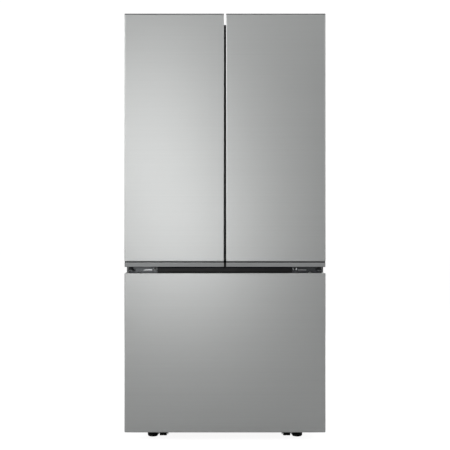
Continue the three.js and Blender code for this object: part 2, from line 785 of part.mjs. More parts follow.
// The finned condenser on its tray, with the fan's shroud and motor at its inlet side.
function condenser() {
  const { y, z, radius } = COND_FAN;
  const shroud = cut(
    block([40, 44], [202, 378], [CASE_BOTTOM + 2 + TOUCH, 256]),
    cylinder(radius + 6, [36, 48], "x", [0, y, z], 40),
  );
  const spokes = [0, 1, 2].map((i) =>
    block([40, 44], [0, radius + 8], [-4, 4])
      .rotateX((i / 3) * 2 * Math.PI + 0.5)
      .translate(0, y, z),
  );
  return join(
    shroud,
    ...spokes,
    cylinder(22, [40, 66], "x", [0, y, z], 28),
    cylinder(3, [6, 44], "x", [0, y, z], 12),
    block([40, 236], [204, 376], [CASE_BOTTOM + 2 + TOUCH, 66]),
    finBlock([80, 232], [210, 370], [65, 250], 14, 3),
  );
}

function machineCover() {
  const plate = block([-410, 410], [BACK_Y - SHEET, BACK_Y], [CASE_BOTTOM + 4, MACHINE_TOP - 0.5]);
  const columns = Array.from({ length: 14 }, (_, i) => -338 + i * 52);
  const slots = columns.flatMap((x) =>
    [110, 200].map((z) => block([x - 8, x + 8], [BACK_Y - 4, BACK_Y + 2], [z, z + 62])),
  );
  return cut(plate, ...slots);
}

// ---------------------------------------------------------------- feet and rollers
// A levelling foot, turned about local Z, with its stud up through the base.
function levellingFoot() {
  const profile = [
    [0, 0],
    [15, 0],
    [19, 2],
    [22, 7],
    [22, 15],
    [9, 17],
    [9, 24],
    [5, 24],
    [5, 61],
    [0, 62],
  ].map(([r, h]) => new THREE.Vector2(r, h));
  return new THREE.LatheGeometry(profile, 24).rotateX(Math.PI / 2);
}

// A roller, turned about local Z, with a bore for its axle. It stands on one flat of its rim.
function roller(reach) {
  const sides = 24;
  const radius = reach / Math.cos(Math.PI / sides);
  const half = 15;
  const profile = [
    [4.5, -half],
    [radius - 2, -half],
    [radius, -half + 2],
    [radius, half - 2],
    [radius - 2, half],
    [4.5, half],
    [4.5, -half],
  ].map(([r, h]) => new THREE.Vector2(r, h));
  return new THREE.LatheGeometry(profile, sides, Math.PI / sides).rotateX(Math.PI / 2);
}

function placed(name, geometry, finish, position, rotation = [0, 0, 0]) {
  const mesh = piece(name, geometry, finish);
  mesh.position.set(...position);
  mesh.rotation.set(...rotation);
  return mesh;
}

const QUARTER = Math.PI / 2;

// ---------------------------------------------------------------- assembly
const cabinet = group(
  piece("outer_case", outerCase(), casePaint),
  piece("back_panel", backPanel(), galvanised),
  piece("base_frame", baseFrame(), galvanised),
  piece("foam_insulation", insulation(), foam),
  piece("fridge_liner", fridgeLiner(), linerPlastic),
  piece("freezer_liner", freezerLiner(), linerPlastic),
  piece("center_rail", centreRail(), railPaint),
  piece("air_panel", airPanel(), linerPlastic),
  piece("middle_shelf", middleShelf(), shelfGlass),
  piece("crisper_cover", crisperCover(), shelfGlass),
  piece("evaporator", evaporator(), aluminium),
  piece("evaporator_cover", evaporatorCover(), linerPlastic),
  placed("compressor", compressor(), compressorPaint, [-235, 290, 0]),
  piece("condenser", condenser(), aluminium),
  piece("machine_cover", machineCover(), galvanised),
  ...SIDES.flatMap(([name, side]) => [
    piece(`upper_hinge_${name}`, upperHinge(side), zinc),
    piece(`hinge_cover_${name}`, hingeCover(side), capPlastic),
    piece(`middle_hinge_${name}`, middleHinge(side), zinc),
    piece(`upper_shelf_${name}`, upperShelf(side), shelfGlass),
    piece(`freezer_rail_${name}`, outerRail(side), zinc),
  ]),
);

const frenchDoor = (name, side) =>
  group(
    piece(`${name}_door_skin`, doorSkin(side), stainless),
    piece(`${name}_door_handle_cap`, handleCap(side), handleTrim),
    piece(`${name}_door_liner`, doorLiner(side), linerPlastic),
    piece(`${name}_door_gasket`, doorGasket(side), gasketRubber),
    doorBin(`${name}_door_bin_low`, side, 796),
    doorBin(`${name}_door_bin_middle`, side, 1130),
  );
const leftDoor = frenchDoor("left", -1).add(
  doorBin("left_door_bin_top", -1, 1450),
  piece("mullion_flap", mullionFlap(), darkPlastic),
);
const rightDoor = frenchDoor("right", 1).add(
  piece("dairy_box", dairyBox(), clearPlastic),
  piece("dairy_lid", dairyLid(), clearPlastic),
);

const freezerDrawer = group(
  piece("freezer_drawer_skin", drawerSkin(), stainless),
  piece("freezer_drawer_handle_cap", drawerHandleCap(), capPlastic),
  piece("freezer_drawer_liner", drawerLiner(), linerPlastic),
  piece("freezer_drawer_gasket", drawerGasket(), gasketRubber),
  piece("freezer_slide_inner", innerSlide(), zinc),
  piece("freezer_slide_middle", middleSlide(), zinc),
  piece("freezer_basket", freezerBasket(), clearPlastic),
);

const innerDrawers = group(
  piece("upper_freezer_drawer", upperFreezerDrawer(), clearPlastic),
  piece("crisper_left", crisper(-1), clearPlastic),
  piece("crisper_right", crisper(1), clearPlastic),
  piece("pantry_drawer", pantryDrawer(), clearPlastic),
);

const fans = group(
  placed(
    "evaporator_fan",
    propeller(EVAP_FAN.radius, 5, 18),
    darkPlastic,
    [0, EVAP_FAN.y, EVAP_FAN.z],
    [-QUARTER, 0, 0],
  ),
  placed(
    "condenser_fan",
    propeller(COND_FAN.radius, 7, 26),
    darkPlastic,
    [COND_FAN.x, COND_FAN.y, COND_FAN.z],
    [0, QUARTER, 0],
  ),
);

const underside = group(
  ...SIDES.flatMap(([name, side]) => [
    placed(`front_foot_${name}`, levellingFoot(), blackRubber, [side * FOOT_X, FRONT_ROW_Y, 0]),
    placed(
      `front_roller_${name}`,
      roller(FRONT_ROLLER.radius),
      blackRubber,
      [side * FRONT_ROLLER_X, FRONT_ROW_Y, FRONT_ROLLER.z],
      [0, QUARTER, 0],
    ),
    placed(
      `rear_roller_${name}`,
      roller(REAR_ROLLER.radius),
      blackRubber,
      [side * REAR_ROLLER_X, REAR_ROW_Y, REAR_ROLLER.z],
      [0, QUARTER, 0],
    ),
  ]),
);

export default group(cabinet, leftDoor, rightDoor, freezerDrawer, innerDrawers, fans, underside);
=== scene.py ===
import json
import math

import bmesh
import bpy
from mathutils import Matrix, Vector

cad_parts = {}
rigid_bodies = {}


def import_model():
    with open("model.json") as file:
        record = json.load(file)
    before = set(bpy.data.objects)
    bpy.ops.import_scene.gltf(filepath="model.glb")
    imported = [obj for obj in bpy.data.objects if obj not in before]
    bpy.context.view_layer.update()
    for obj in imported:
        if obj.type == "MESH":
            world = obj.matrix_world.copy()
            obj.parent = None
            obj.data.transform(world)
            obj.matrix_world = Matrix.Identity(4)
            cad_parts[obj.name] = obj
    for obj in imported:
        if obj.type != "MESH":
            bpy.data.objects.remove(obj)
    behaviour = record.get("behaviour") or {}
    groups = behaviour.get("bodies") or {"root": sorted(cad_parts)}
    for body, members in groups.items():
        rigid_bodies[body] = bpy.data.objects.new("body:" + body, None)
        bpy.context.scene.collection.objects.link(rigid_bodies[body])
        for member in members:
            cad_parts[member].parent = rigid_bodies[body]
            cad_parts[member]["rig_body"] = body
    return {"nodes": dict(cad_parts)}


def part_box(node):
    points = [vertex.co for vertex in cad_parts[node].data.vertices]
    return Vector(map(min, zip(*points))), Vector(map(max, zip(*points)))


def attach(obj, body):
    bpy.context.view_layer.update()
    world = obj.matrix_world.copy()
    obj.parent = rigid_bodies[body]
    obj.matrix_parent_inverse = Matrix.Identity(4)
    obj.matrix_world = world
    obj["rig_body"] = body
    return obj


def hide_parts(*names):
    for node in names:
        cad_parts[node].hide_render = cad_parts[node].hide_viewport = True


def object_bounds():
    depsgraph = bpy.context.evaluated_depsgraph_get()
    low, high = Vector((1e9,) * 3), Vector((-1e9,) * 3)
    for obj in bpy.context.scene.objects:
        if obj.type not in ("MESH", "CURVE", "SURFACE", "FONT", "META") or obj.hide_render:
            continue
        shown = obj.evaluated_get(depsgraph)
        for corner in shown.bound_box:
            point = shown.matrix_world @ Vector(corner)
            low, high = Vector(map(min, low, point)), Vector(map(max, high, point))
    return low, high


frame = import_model()
nodes = frame["nodes"]
cad_low, cad_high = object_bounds()
MM = 0.001

# ---- Where it stands
# A pale floor and a pale distance. Soft lamps stand in front of the left door and above it, the rest
# of the room is even and dimmer, and the camera looks straight at the doors.
CAMERA_DISTANCE = 5.0
CAMERA_HEIGHT = 0.896
VIEW_WIDTH = 1.860  # what the camera takes in at the doors

scene = bpy.context.scene
scene.view_settings.view_transform = "Standard"

eye = bpy.data.cameras.new("camera")
eye.lens = eye.sensor_width * CAMERA_DISTANCE / VIEW_WIDTH
camera = bpy.data.objects.new("camera", eye)
camera.location = (0, cad_low.y - CAMERA_DISTANCE, CAMERA_HEIGHT)
camera.rotation_euler = (math.pi / 2, 0, 0)
scene.collection.objects.link(camera)
scene.camera = camera


def lamp(name, place, aim, size, watts):
    """A soft rectangular lamp at a place, turned to aim at another."""
    light = bpy.data.lights.new(name, "AREA")
    light.shape = "RECTANGLE"
    light.size, light.size_y = size
    light.energy = watts
    body = bpy.data.objects.new(name, light)
    body.location = place
    body.rotation_euler = (Vector(aim) - Vector(place)).to_track_quat("-Z", "Y").to_euler()
    body.visible_camera = False
    scene.collection.objects.link(body)


lamp("upper_key_lamp", (-0.45, -2.35, 1.40), (-0.45, 0, 1.40), (0.46, 0.9), 3.7)
lamp("lower_key_lamp", (-0.24, -2.35, 0.78), (-0.24, 0, 0.78), (0.40, 0.5), 2.7)
lamp("high_lamp", (0.5, -2.6, 2.75), (0.5, 0, 1.9), (2.6, 0.9), 3.6)
lamp("left_lamp", (-3.7, -2.4, 2.3), (0, 0, 0.9), (2.4, 2.4), 72)
lamp("right_lamp", (3.8, -2.6, 2.1), (0, 0, 0.9), (2.4, 2.4), 37)
lamp("back_lamp", (1.4, 4.2, 2.6), (0, 0, 0.9), (2.6, 2.6), 70)
lamp("top_lamp", (0, 0.3, 4.6), (0, 0.1, 0), (3.0, 3.0), 60)

room = bpy.data.worlds.new("room")
room.use_nodes = True
air = room.node_tree
dim = air.nodes["Background"]
dim.inputs["Color"].default_value = (0.195, 0.198, 0.198, 1)
white = air.nodes.new("ShaderNodeBackground")
white.inputs["Color"].default_value = (1, 1, 1, 1)
white.inputs["Strength"].default_value = 1.05
ray = air.nodes.new("ShaderNodeLightPath")
either = air.nodes.new("ShaderNodeMixShader")
air.links.new(ray.outputs["Is Camera Ray"], either.inputs[0])
air.links.new(dim.outputs[0], either.inputs[1])
air.links.new(white.outputs[0], either.inputs[2])
air.links.new(either.outputs[0], air.nodes["World Output"].inputs["Surface"])
scene.world = room


class Value:
    """One number, colour or direction in a finish, so that its maths reads as an expression."""

    def __init__(self, finish, socket):
        self.finish = finish
        self.socket = socket

    def maths(self, operation, *values):
        return self.finish.node("ShaderNodeMath", {"operation": operation}, dict(enumerate(values)))

    def __add__(self, other):
        return self.maths("ADD", self, other)

    def __mul__(self, other):
        return self.maths("MULTIPLY", self, other)

    __radd__ = __add__
    __rmul__ = __mul__

    def clamped(self):
        return self.maths("MINIMUM", self.maths("MAXIMUM", self, 0.0), 1.0)


class Finish:
    """A material with its one surface shader, and the ways to feed it."""

    def __init__(self, name, **fixed):
        self.material = bpy.data.materials.new(name)
        self.material.use_nodes = True
        self.tree = self.material.node_tree
        self.shader = self.tree.nodes["Principled BSDF"]
        for socket, value in fixed.items():
            self.shader.inputs[socket.replace("_", " ")].default_value = value

    def node(self, kind, settings=None, values=None, output=0):
        """A node of a kind, with its settings made first and its sockets given values or links."""
        added = self.tree.nodes.new(kind)
        for setting, choice in (settings or {}).items():
            setattr(added, setting, choice)
        for socket, value in (values or {}).items():
            self.join(value, added.inputs[socket])
        return Value(self, added.outputs[output])

    def join(self, value, socket):
        if isinstance(value, Value):
            self.tree.links.new(value.socket, socket)
        else:
            socket.default_value = value

    def feed(self, socket, value):
        self.join(value, self.shader.inputs[socket])

    def place(self, scale=(1, 1, 1)):
        """Where a point is in the refrigerator's frame, stretched."""
        at = self.node("ShaderNodeTexCoord", output=3)
        return self.node("ShaderNodeMapping", values={"Vector": at, "Scale": scale})

    def noise(self, scale=(1, 1, 1), size=1.0, detail=3.0, rough=0.5):
        values = {"Vector": self.place(scale), "Scale": size, "Detail": detail, "Roughness": rough}
        return self.node("ShaderNodeTexNoise", values=values)

    def cells(self, size, kind="F1", output=0):
        values = {"Vector": self.place(), "Scale": size}
        return self.node("ShaderNodeTexVoronoi", {"feature": kind}, values, output)

    def mixed(self, share, first, second):
        """A colour between two others."""
        values = {0: share, 6: (*first, 1), 7: (*second, 1)}
        return self.node("ShaderNodeMix", {"data_type": "RGBA"}, values, output=2)

    def bumped(self, height, depth, strength=1.0):
        values = {"Height": height, "Distance": depth, "Strength": strength}
        self.feed("Normal", self.node("ShaderNodeBump", values=values))


def pale_floor():
    """White to the camera, a little dimmer where it is shaded, and plain grey to all the rest."""
    finish = Finish("pale_floor", Roughness=0.9, Specular_IOR_Level=0.1)
    speckle = finish.noise(size=60.0, detail=2.0)
    finish.feed("Base Color", finish.mixed(speckle, (0.40, 0.40, 0.40), (0.44, 0.44, 0.44)))
    surface = Value(finish, finish.shader.outputs[0])
    glow = finish.node("ShaderNodeEmission", values={"Strength": 0.92})
    lit = finish.node("ShaderNodeAddShader", values={0: surface, 1: glow})
    seen = finish.node("ShaderNodeLightPath")
    shown = finish.node("ShaderNodeMixShader", values={0: seen, 1: surface, 2: lit})
    finish.join(shown, finish.tree.nodes["Material Output"].inputs["Surface"])
    return finish.material


def made(name, points, faces, finish):
    """A new piece from its points and faces."""
    shape = bpy.data.meshes.new(name)
    shape.from_pydata(points, [], faces)
    shape.materials.append(finish)
    piece = bpy.data.objects.new(name, shape)
    scene.collection.objects.link(piece)
    return piece


REACH = 40.0  # of the floor, from the middle
FLOOR_DROP = 0.5 * MM  # keeps it clear of the feet
square = [(x * REACH, y * REACH, -FLOOR_DROP) for x, y in ((-1, -1), (1, -1), (1, 1), (-1, 1))]
made("floor", square, [(0, 1, 2, 3)], pale_floor())


# ---- Outer case
# One long sheet of prepainted steel, folded up one side, over the top and down the other, with a flange
# turned in round the front. Its paint has a fine pebble, which hides the marks of handling.
def pebbled_paint():
    finish = Finish("pebbled_grey_paint", Metallic=0.15, Coat_Weight=0.15, Coat_Roughness=0.4)
    pebble = finish.cells(520.0, "SMOOTH_F1")
    cloud = finish.noise(size=3.0, detail=3.0)
    finish.feed("Base Color", finish.mixed(cloud, (0.265, 0.272, 0.275), (0.315, 0.322, 0.325)))
    finish.feed("Roughness", 0.40 + pebble * 0.22)
    finish.bumped(pebble, 0.00035, 0.6)
    return finish.material


def quarter(centre, radius, start, steps=5):
    """Points of a quarter circle, anticlockwise from an angle in degrees."""
    angles = [math.radians(start + 90 * i / steps) for i in range(steps + 1)]
    return [(centre[0] + radius * math.cos(a), centre[1] + radius * math.sin(a)) for a in angles]


def returned(edge, fold, reach, way=1):
    """Rows of a sheet's turned-in return at an edge, then of the fold that leads away from it."""
    turns = [math.radians(90 * i / 4) for i in range(5)]
    curve = [(fold * (1 - math.sin(a)), edge + way * fold * (1 - math.cos(a))) for a in turns]
    return [(reach, edge), *curve]


def settled(piece, crease=30):
    """The piece with its modifiers worked in, flat faces kept flat and rounded ones smooth."""
    piece.modifiers.new("small faces", "TRIANGULATE").min_vertices = 5
    for stage in ("shape", "shading"):
        bpy.context.view_layer.update()
        ready = piece.evaluated_get(bpy.context.evaluated_depsgraph_get())
        shape = bpy.data.meshes.new_from_object(ready)
        piece.modifiers.clear()
        piece.data = shape
        if stage == "shape":
            shape.shade_smooth()
            shape.set_sharp_from_angle(angle=math.radians(crease))
            piece.modifiers.new("even shading", "WEIGHTED_NORMAL").keep_sharp = True
    return piece


def fitted(piece, body, slot, *stands_for):
    """Settles a piece, hangs it on its body, and hides the CAD pieces it stands for. The slot is not
    used.
    """
    settled(piece)
    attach(piece, body)
    if stands_for:
        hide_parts(*stands_for)
    return piece


def folded_sheet(name, outline, rows, place, thickness, finish):
    """A sheet whose outline, moved in by each row's inset, is carried through the rows."""
    rings = [[place(*point, along) for point in outline(inset)] for inset, along in rows]
    count = len(rings[0])
    faces = [
        (r * count + i, r * count + i + 1, (r + 1) * count + i + 1, (r + 1) * count + i)
        for r in range(len(rings) - 1)
        for i in range(count - 1)
    ]
    piece = made(name, [point for ring in rings for point in ring], faces, finish)
    wall = piece.modifiers.new("thickness", "SOLIDIFY")
    wall.thickness = thickness
    wall.offset = -1
    return piece


CASE_CORNER = 3.8 * MM
CASE_FLANGE = 31.3 * MM
CASE_SHEET = 0.9 * MM
case_low, case_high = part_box("outer_case")


def case_outline(inset):
    """Up the left side, over the top and down the right side."""
    radius = max(CASE_CORNER - inset, 0.5 * MM)
    half, top = case_high.x - inset, case_high.z - inset
    left = quarter((-half + radius, top - radius), radius, 90)[::-1]
    right = quarter((half - radius, top - radius), radius, 0)[::-1]
    return [(-half, case_low.z), *left, *right, (half, case_low.z)]


case_rows = [*returned(case_low.y, 2.2 * MM, CASE_FLANGE), (0, case_high.y)]
pebbled = pebbled_paint()
case = folded_sheet(
    "painted_case", case_outline, case_rows, lambda x, z, y: (x, y, z), CASE_SHEET, pebbled
)
fitted(case, "cabinet", "case_paint", "outer_case")


# ---- Insulation
# Polyurethane foam, poured between the case and the liners, where it sets and glues them together. It is
# hidden once the case is closed.
def poured_foam():
    finish = Finish("poured_foam", Roughness=0.9)
    bubble = finish.cells(900.0)
    cloud = finish.noise(size=9.0)
    finish.feed("Base Color", finish.mixed(cloud, (0.70, 0.60, 0.33), (0.82, 0.73, 0.46)))
    finish.bumped(bubble, 0.0006, 0.7)
    return finish.material


def refinished(finish, *names):
    """Gives CAD pieces whose shape is right a better finish."""
    for name in names:
        nodes[name].data.materials.clear()
        nodes[name].data.materials.append(finish)


refinished(poured_foam(), "foam_insulation")


# ---- Back panel
# A sheet of galvanised steel with long pressed ribs that stop it drumming. Its edge is screwed to the
# flanges of the case.
def spangled_zinc():
    finish = Finish("galvanised_sheet", Metallic=1.0)
    flake = finish.cells(95.0, output=1)
    tone = finish.node("ShaderNodeSeparateColor", values={0: flake})
    scuff = finish.noise((1, 1, 1), size=14.0, detail=5.0, rough=0.65)
    shade = tone * 0.8 + scuff * 0.2
    finish.feed("Base Color", finish.mixed(shade, (0.46, 0.48, 0.49), (0.62, 0.64, 0.65)))
    finish.feed("Roughness", 0.34 + tone * 0.12 + scuff * 0.08)
    finish.bumped(tone, 0.00004, 0.4)
    return finish.material


RIBS = 9
RIB_WIDTH = 26 * MM
RIB_DEPTH = 1.2 * MM
back_low, back_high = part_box("back_panel")
BACK_FACE = cad_high.y - 1.6 * MM


def back_outline(depth):
    """Across the back from right to left, standing out at each rib by the row's depth."""
    pitch = (back_high.x - back_low.x) / RIBS
    points = [(back_high.x, 0)]
    for rib in range(RIBS):
        middle = back_high.x - pitch * (rib + 0.5)
        for step in range(9):
            turn = math.pi * (step / 4 - 1)
            points.append((middle - RIB_WIDTH / 2 * (step / 4 - 1), depth * (1 + math.cos(turn)) / 2))
    return [*points, (back_low.x, 0)]


back_rows = [(0, back_low.z), (0, back_low.z + 0.040), (RIB_DEPTH, back_low.z + 0.052)]
back_rows += [(RIB_DEPTH, back_high.z - 0.052), (0, back_high.z - 0.040), (0, back_high.z)]
galvanised = spangled_zinc()
panel = folded_sheet(
    "ribbed_back_panel",
    back_outline,
    back_rows,
    lambda x, rise, z: (x, BACK_FACE + rise, z),
    0.5 * MM,
    galvanised,
)
fitted(panel, "cabinet", "galvanised_sheet", "back_panel")


# ---- Screws
# Zinc plated pan head screws with a cross recess. They hold the back panel, the machine cover and the
# freezer drawer's slides.
def plated_zinc():
    finish = Finish("bright_zinc", Metallic=1.0)
    cloud = finish.noise(size=30.0, detail=4.0)
    grain = finish.noise(size=900.0, detail=2.0)
    finish.feed("Base Color", finish.mixed(cloud, (0.62, 0.63, 0.64), (0.80, 0.81, 0.82)))
    finish.feed("Roughness", 0.22 + cloud * 0.12 + grain * 0.06)
    finish.bumped(grain, 0.00003, 0.3)
    return finish.material


class Pattern:
    """A Geometry Nodes tree with named inputs. It repeats a shape at the points that it is given."""

    def __init__(self, name, sizes):
        self.tree = bpy.data.node_groups.new(name, "GeometryNodeTree")
        face = self.tree.interface
        face.new_socket("Places", in_out="INPUT", socket_type="NodeSocketGeometry")
        face.new_socket("Finish", in_out="INPUT", socket_type="NodeSocketMaterial")
        for size in sizes:
            kind = "NodeSocketVector" if size == "Facing" else "NodeSocketFloat"
            face.new_socket(size, in_out="INPUT", socket_type=kind)
        face.new_socket("Shape", in_out="OUTPUT", socket_type="NodeSocketGeometry")
        self.given = self.tree.nodes.new("NodeGroupInput").outputs

    def node(self, kind, settings=None, values=None, output=0):
        """A node of a kind, with its settings made first and its sockets given values or links."""
        added = self.tree.nodes.new(kind)
        for setting, choice in (settings or {}).items():
            setattr(added, setting, choice)
        for socket, value in (values or {}).items():
            if isinstance(value, bpy.types.NodeSocket):
                self.tree.links.new(value, added.inputs[socket])
            else:
                added.inputs[socket].default_value = value
        return added.outputs[output]

    def repeated(self, shape, turn=None):
        """Ends the tree: the shape at every place, as real faces with the finish on them."""
        values = {"Points": self.given["Places"], "Instance": shape}
        if turn:
            values["Rotation"] = turn
        copies = self.node("GeometryNodeInstanceOnPoints", values=values)
        real = self.node("GeometryNodeRealizeInstances", values={0: copies})
        values = {"Geometry": real, "Material": self.given["Finish"]}
        painted = self.node("GeometryNodeSetMaterial", values=values)
        self.tree.links.new(painted, self.tree.nodes.new("NodeGroupOutput").inputs[0])
        return self

    def at(self, name, places, finish, **sizes):
        """A piece of the pattern's shape at each place."""
        piece = made(name, places, [], finish)
        grown = piece.modifiers.new(name, "NODES")
        grown.node_group = self.tree
        for socket in self.tree.interface.items_tree:
            if socket.name == "Finish":
                grown[socket.identifier] = finish
            elif socket.name in sizes:
                grown[socket.identifier] = sizes[socket.name]
        return settled(piece)


def screw_pattern():
    pattern = Pattern("screw_heads", ("Radius", "Height", "Facing"))
    radius, height = pattern.given["Radius"], pattern.given["Height"]
    narrow = pattern.node("ShaderNodeMath", {"operation": "MULTIPLY"}, {0: radius, 1: 0.72})
    values = {"Vertices": 20, "Radius Top": narrow, "Radius Bottom": radius, "Depth": height}
    head = pattern.node("GeometryNodeMeshCone", values=values)
    slots = []
    for across, along in ((0.22, 0.9), (0.9, 0.22)):
        size = pattern.node("ShaderNodeCombineXYZ", values={
            0: pattern.node("ShaderNodeMath", {"operation": "MULTIPLY"}, {0: radius, 1: across}),
            1: pattern.node("ShaderNodeMath", {"operation": "MULTIPLY"}, {0: radius, 1: along}),
            2: height,
        })
        cube = pattern.node("GeometryNodeMeshCube", values={"Size": size})
        up = pattern.node("ShaderNodeCombineXYZ", values={2: height})
        slots.append(pattern.node("GeometryNodeTransform", values={0: cube, "Translation": up}))
    for slot in slots:
        cut = pattern.tree.nodes.new("GeometryNodeMeshBoolean")
        cut.operation = "DIFFERENCE"
        pattern.tree.links.new(head, cut.inputs["Mesh 1"])
        pattern.tree.links.new(slot, cut.inputs["Mesh 2"])
        head = cut.outputs["Mesh"]
    values = {"Vector": pattern.given["Facing"]}
    turn = pattern.node("FunctionNodeAlignRotationToVector", {"axis": "Z"}, values)
    return pattern.repeated(head, turn)


screws = screw_pattern()
zinc = plated_zinc()


def screwed(name, body, places, facing, radius=4 * MM, height=2 * MM):
    piece = screws.at(name, places, zinc, Radius=radius, Height=height, Facing=facing)
    return fitted(piece, body, "bright_zinc")


SCREW_PITCH = 0.172
back_screw_heights = [back_low.z + 0.012 + i * SCREW_PITCH for i in range(9)]
back_edge = back_high.x - 0.010
screwed(
    "back_screws",
    "cabinet",
    [(side * back_edge, BACK_FACE, z) for side in (-1, 1) for z in back_screw_heights],
    (0, 1, 0),
    height=1.5 * MM,
)


# ---- Base, feet and rollers
# The base is pressed from galvanised steel, with a levelling foot and a roller at each front corner and
# a roller at each back corner. Feet and rollers are black: nylon on a steel stud, and hard rubber.
def eased(node, edge, finish, slot, steps=2):
    """A CAD piece's own shape with its edges softened."""
    clean = bmesh.new()
    clean.from_mesh(nodes[node].data)
    bmesh.ops.remove_doubles(clean, verts=clean.verts, dist=0.01 * MM)
    flat = math.radians(1)
    bmesh.ops.dissolve_limit(clean, angle_limit=flat, verts=clean.verts, edges=clean.edges)
    clean.verts.index_update()
    points = [vert.co[:] for vert in clean.verts]
    faces = [[vert.index for vert in face.verts] for face in clean.faces]
    clean.free()
    piece = softened(made(f"{node}_finished", points, faces, finish), edge, steps)
    return fitted(piece, nodes[node]["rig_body"], slot, node)


def softened(piece, edge, steps=2):
    """Rounds every sharp edge of a piece."""
    round_off = piece.modifiers.new("rounded edges", "BEVEL")
    round_off.width = edge
    round_off.segments = steps
    round_off.limit_method = "ANGLE"
    round_off.angle_limit = math.radians(28)
    return piece


def facing_out(piece):
    """Turns every face of a closed piece outwards."""
    mesh = bmesh.new()
    mesh.from_mesh(piece.data)
    bmesh.ops.recalc_face_normals(mesh, faces=mesh.faces)
    mesh.to_mesh(piece.data)
    mesh.free()
    return piece


def lofted(name, rings, finish, loop=False):
    """A closed body through rings of equally many points: capped at its ends, or joined round."""
    count = len(rings[0])
    spans = len(rings) if loop else len(rings) - 1
    faces = [
        [
            r * count + i,
            r * count + (i + 1) % count,
            (r + 1) % len(rings) * count + (i + 1) % count,
            (r + 1) % len(rings) * count + i,
        ]
        for r in range(spans)
        for i in range(count)
    ]
    if not loop:
        last = count * (len(rings) - 1)
        faces += [list(range(count))[::-1], list(range(last, last + count))]
    return facing_out(made(name, [point for ring in rings for point in ring], faces, finish))


def turned(name, profile, centre, axis, finish, sides=48):
    """A body turned from a profile of (radius, distance along the axis), closed at both ends."""
    rings = []
    for radius, along in profile:
        ring = []
        for side in range(sides):
            angle = 2 * math.pi * side / sides
            across = radius * math.cos(angle), radius * math.sin(angle)
            offset = {"X": (along, *across), "Y": (across[1], along, across[0]), "Z": (*across, along)}
            ring.append(tuple(Vector(centre) + Vector(offset[axis])))
        rings.append(ring)
    return lofted(name, rings, finish)


def black_rubber():
    finish = Finish("black_rubber", Specular_IOR_Level=0.35)
    dust = finish.noise(size=60.0, detail=5.0, rough=0.7)
    finish.feed("Base Color", finish.mixed(dust, (0.012, 0.012, 0.013), (0.035, 0.035, 0.036)))
    finish.feed("Roughness", 0.55 + dust * 0.3)
    finish.bumped(finish.noise(size=1400.0), 0.00008, 0.5)
    return finish.material


rubber = black_rubber()
eased("base_frame", 0.5 * MM, galvanised, "galvanised_sheet", 1)

# Radius and height, in millimetres: the pad, a collar and the stud.
FOOT_PROFILE = [(0.5, 0), (14.5, 0), (18.5, 1.2), (21.2, 4.5), (22, 8), (22, 13.6), (21, 15)]
FOOT_PROFILE += [(10.5, 16.6), (9, 17.6), (9, 23.4), (8.2, 24), (5, 24.2), (5, 61), (4, 61.8)]
FOOT_PROFILE += [(0.5, 62)]
for side in ("left", "right"):
    node = f"front_foot_{side}"
    low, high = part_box(node)
    middle = (low + high) / 2
    profile = [(radius * MM, height * MM) for radius, height in FOOT_PROFILE]
    foot = turned(f"{side}_foot", profile, (middle.x, middle.y, low.z), "Z", rubber)
    fitted(foot, node, "black_rubber", node)

for end in ("front", "rear"):
    for side in ("left", "right"):
        node = f"{end}_roller_{side}"
        low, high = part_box(node)
        middle = (low + high) / 2
        reach = middle.z - low.z
        half = (high.x - low.x) / 2
        # Tread, rounded shoulders, and a dished wheel face down to the hub.
        outer = [(reach - 9 * MM, half - 2.5 * MM), (reach - 5 * MM, half - 2 * MM)]
        outer += [(reach - 3.5 * MM, half), (reach - 1.6 * MM, half)]
        outer += [(reach - 0.4 * MM, half - 1.2 * MM), (reach, half - 3 * MM)]
        outer += [(reach, 2 * MM), (reach - 0.6 * MM, 1 * MM)]
        hub = [(0.5 * MM, half - 0.5 * MM), (6.0 * MM, half - 0.5 * MM), (6.5 * MM, half - 2.5 * MM)]
        one_side = [*hub, *outer]
        profile = [(r, -x) for r, x in one_side] + [(r, x) for r, x in one_side[::-1]]
        fitted(turned(f"{end}_{side}_wheel", profile, middle, "X", rubber), node, "black_rubber", node)


# ---- Compressor, condenser and machine cover
# The sealed compressor is drawn steel in black enamel, on rubber mounts. A fan draws air through a plate
# fin condenser beside it, and a galvanised cover with rows of slots closes the space.
def black_enamel():
    finish = Finish("black_enamel", Coat_Weight=0.5, Coat_Roughness=0.15, Metallic=0.1)
    orange_peel = finish.noise(size=240.0, detail=2.0)
    dust = finish.noise(size=12.0, detail=5.0)
    finish.feed("Base Color", finish.mixed(dust, (0.010, 0.010, 0.011), (0.028, 0.028, 0.030)))
    finish.feed("Roughness", 0.28 + dust * 0.2)
    finish.bumped(orange_peel, 0.0002, 0.35)
    return finish.material


def rolled_aluminium():
    finish = Finish("rolled_aluminium", Metallic=1.0)
    grain = finish.noise((4, 4, 300.0), detail=3.0)
    dull = finish.noise(size=7.0, detail=4.0)
    finish.feed("Base Color", finish.mixed(dull, (0.60, 0.61, 0.62), (0.78, 0.79, 0.80)))
    finish.feed("Roughness", 0.30 + grain * 0.15 + dull * 0.1)
    finish.bumped(grain, 0.00005, 0.4)
    return finish.material


def dark_plastic():
    finish = Finish("dark_moulded_plastic", Specular_IOR_Level=0.4)
    leather = finish.cells(750.0, "SMOOTH_F1")
    cloud = finish.noise(size=5.0)
    finish.feed("Base Color", finish.mixed(cloud, (0.026, 0.027, 0.029), (0.038, 0.040, 0.042)))
    finish.feed("Roughness", 0.42 + leather * 0.2)
    finish.bumped(leather, 0.0002, 0.4)
    return finish.material


enamel, aluminium, dark = black_enamel(), rolled_aluminium(), dark_plastic()


BLADE_ROOT = 17 * MM


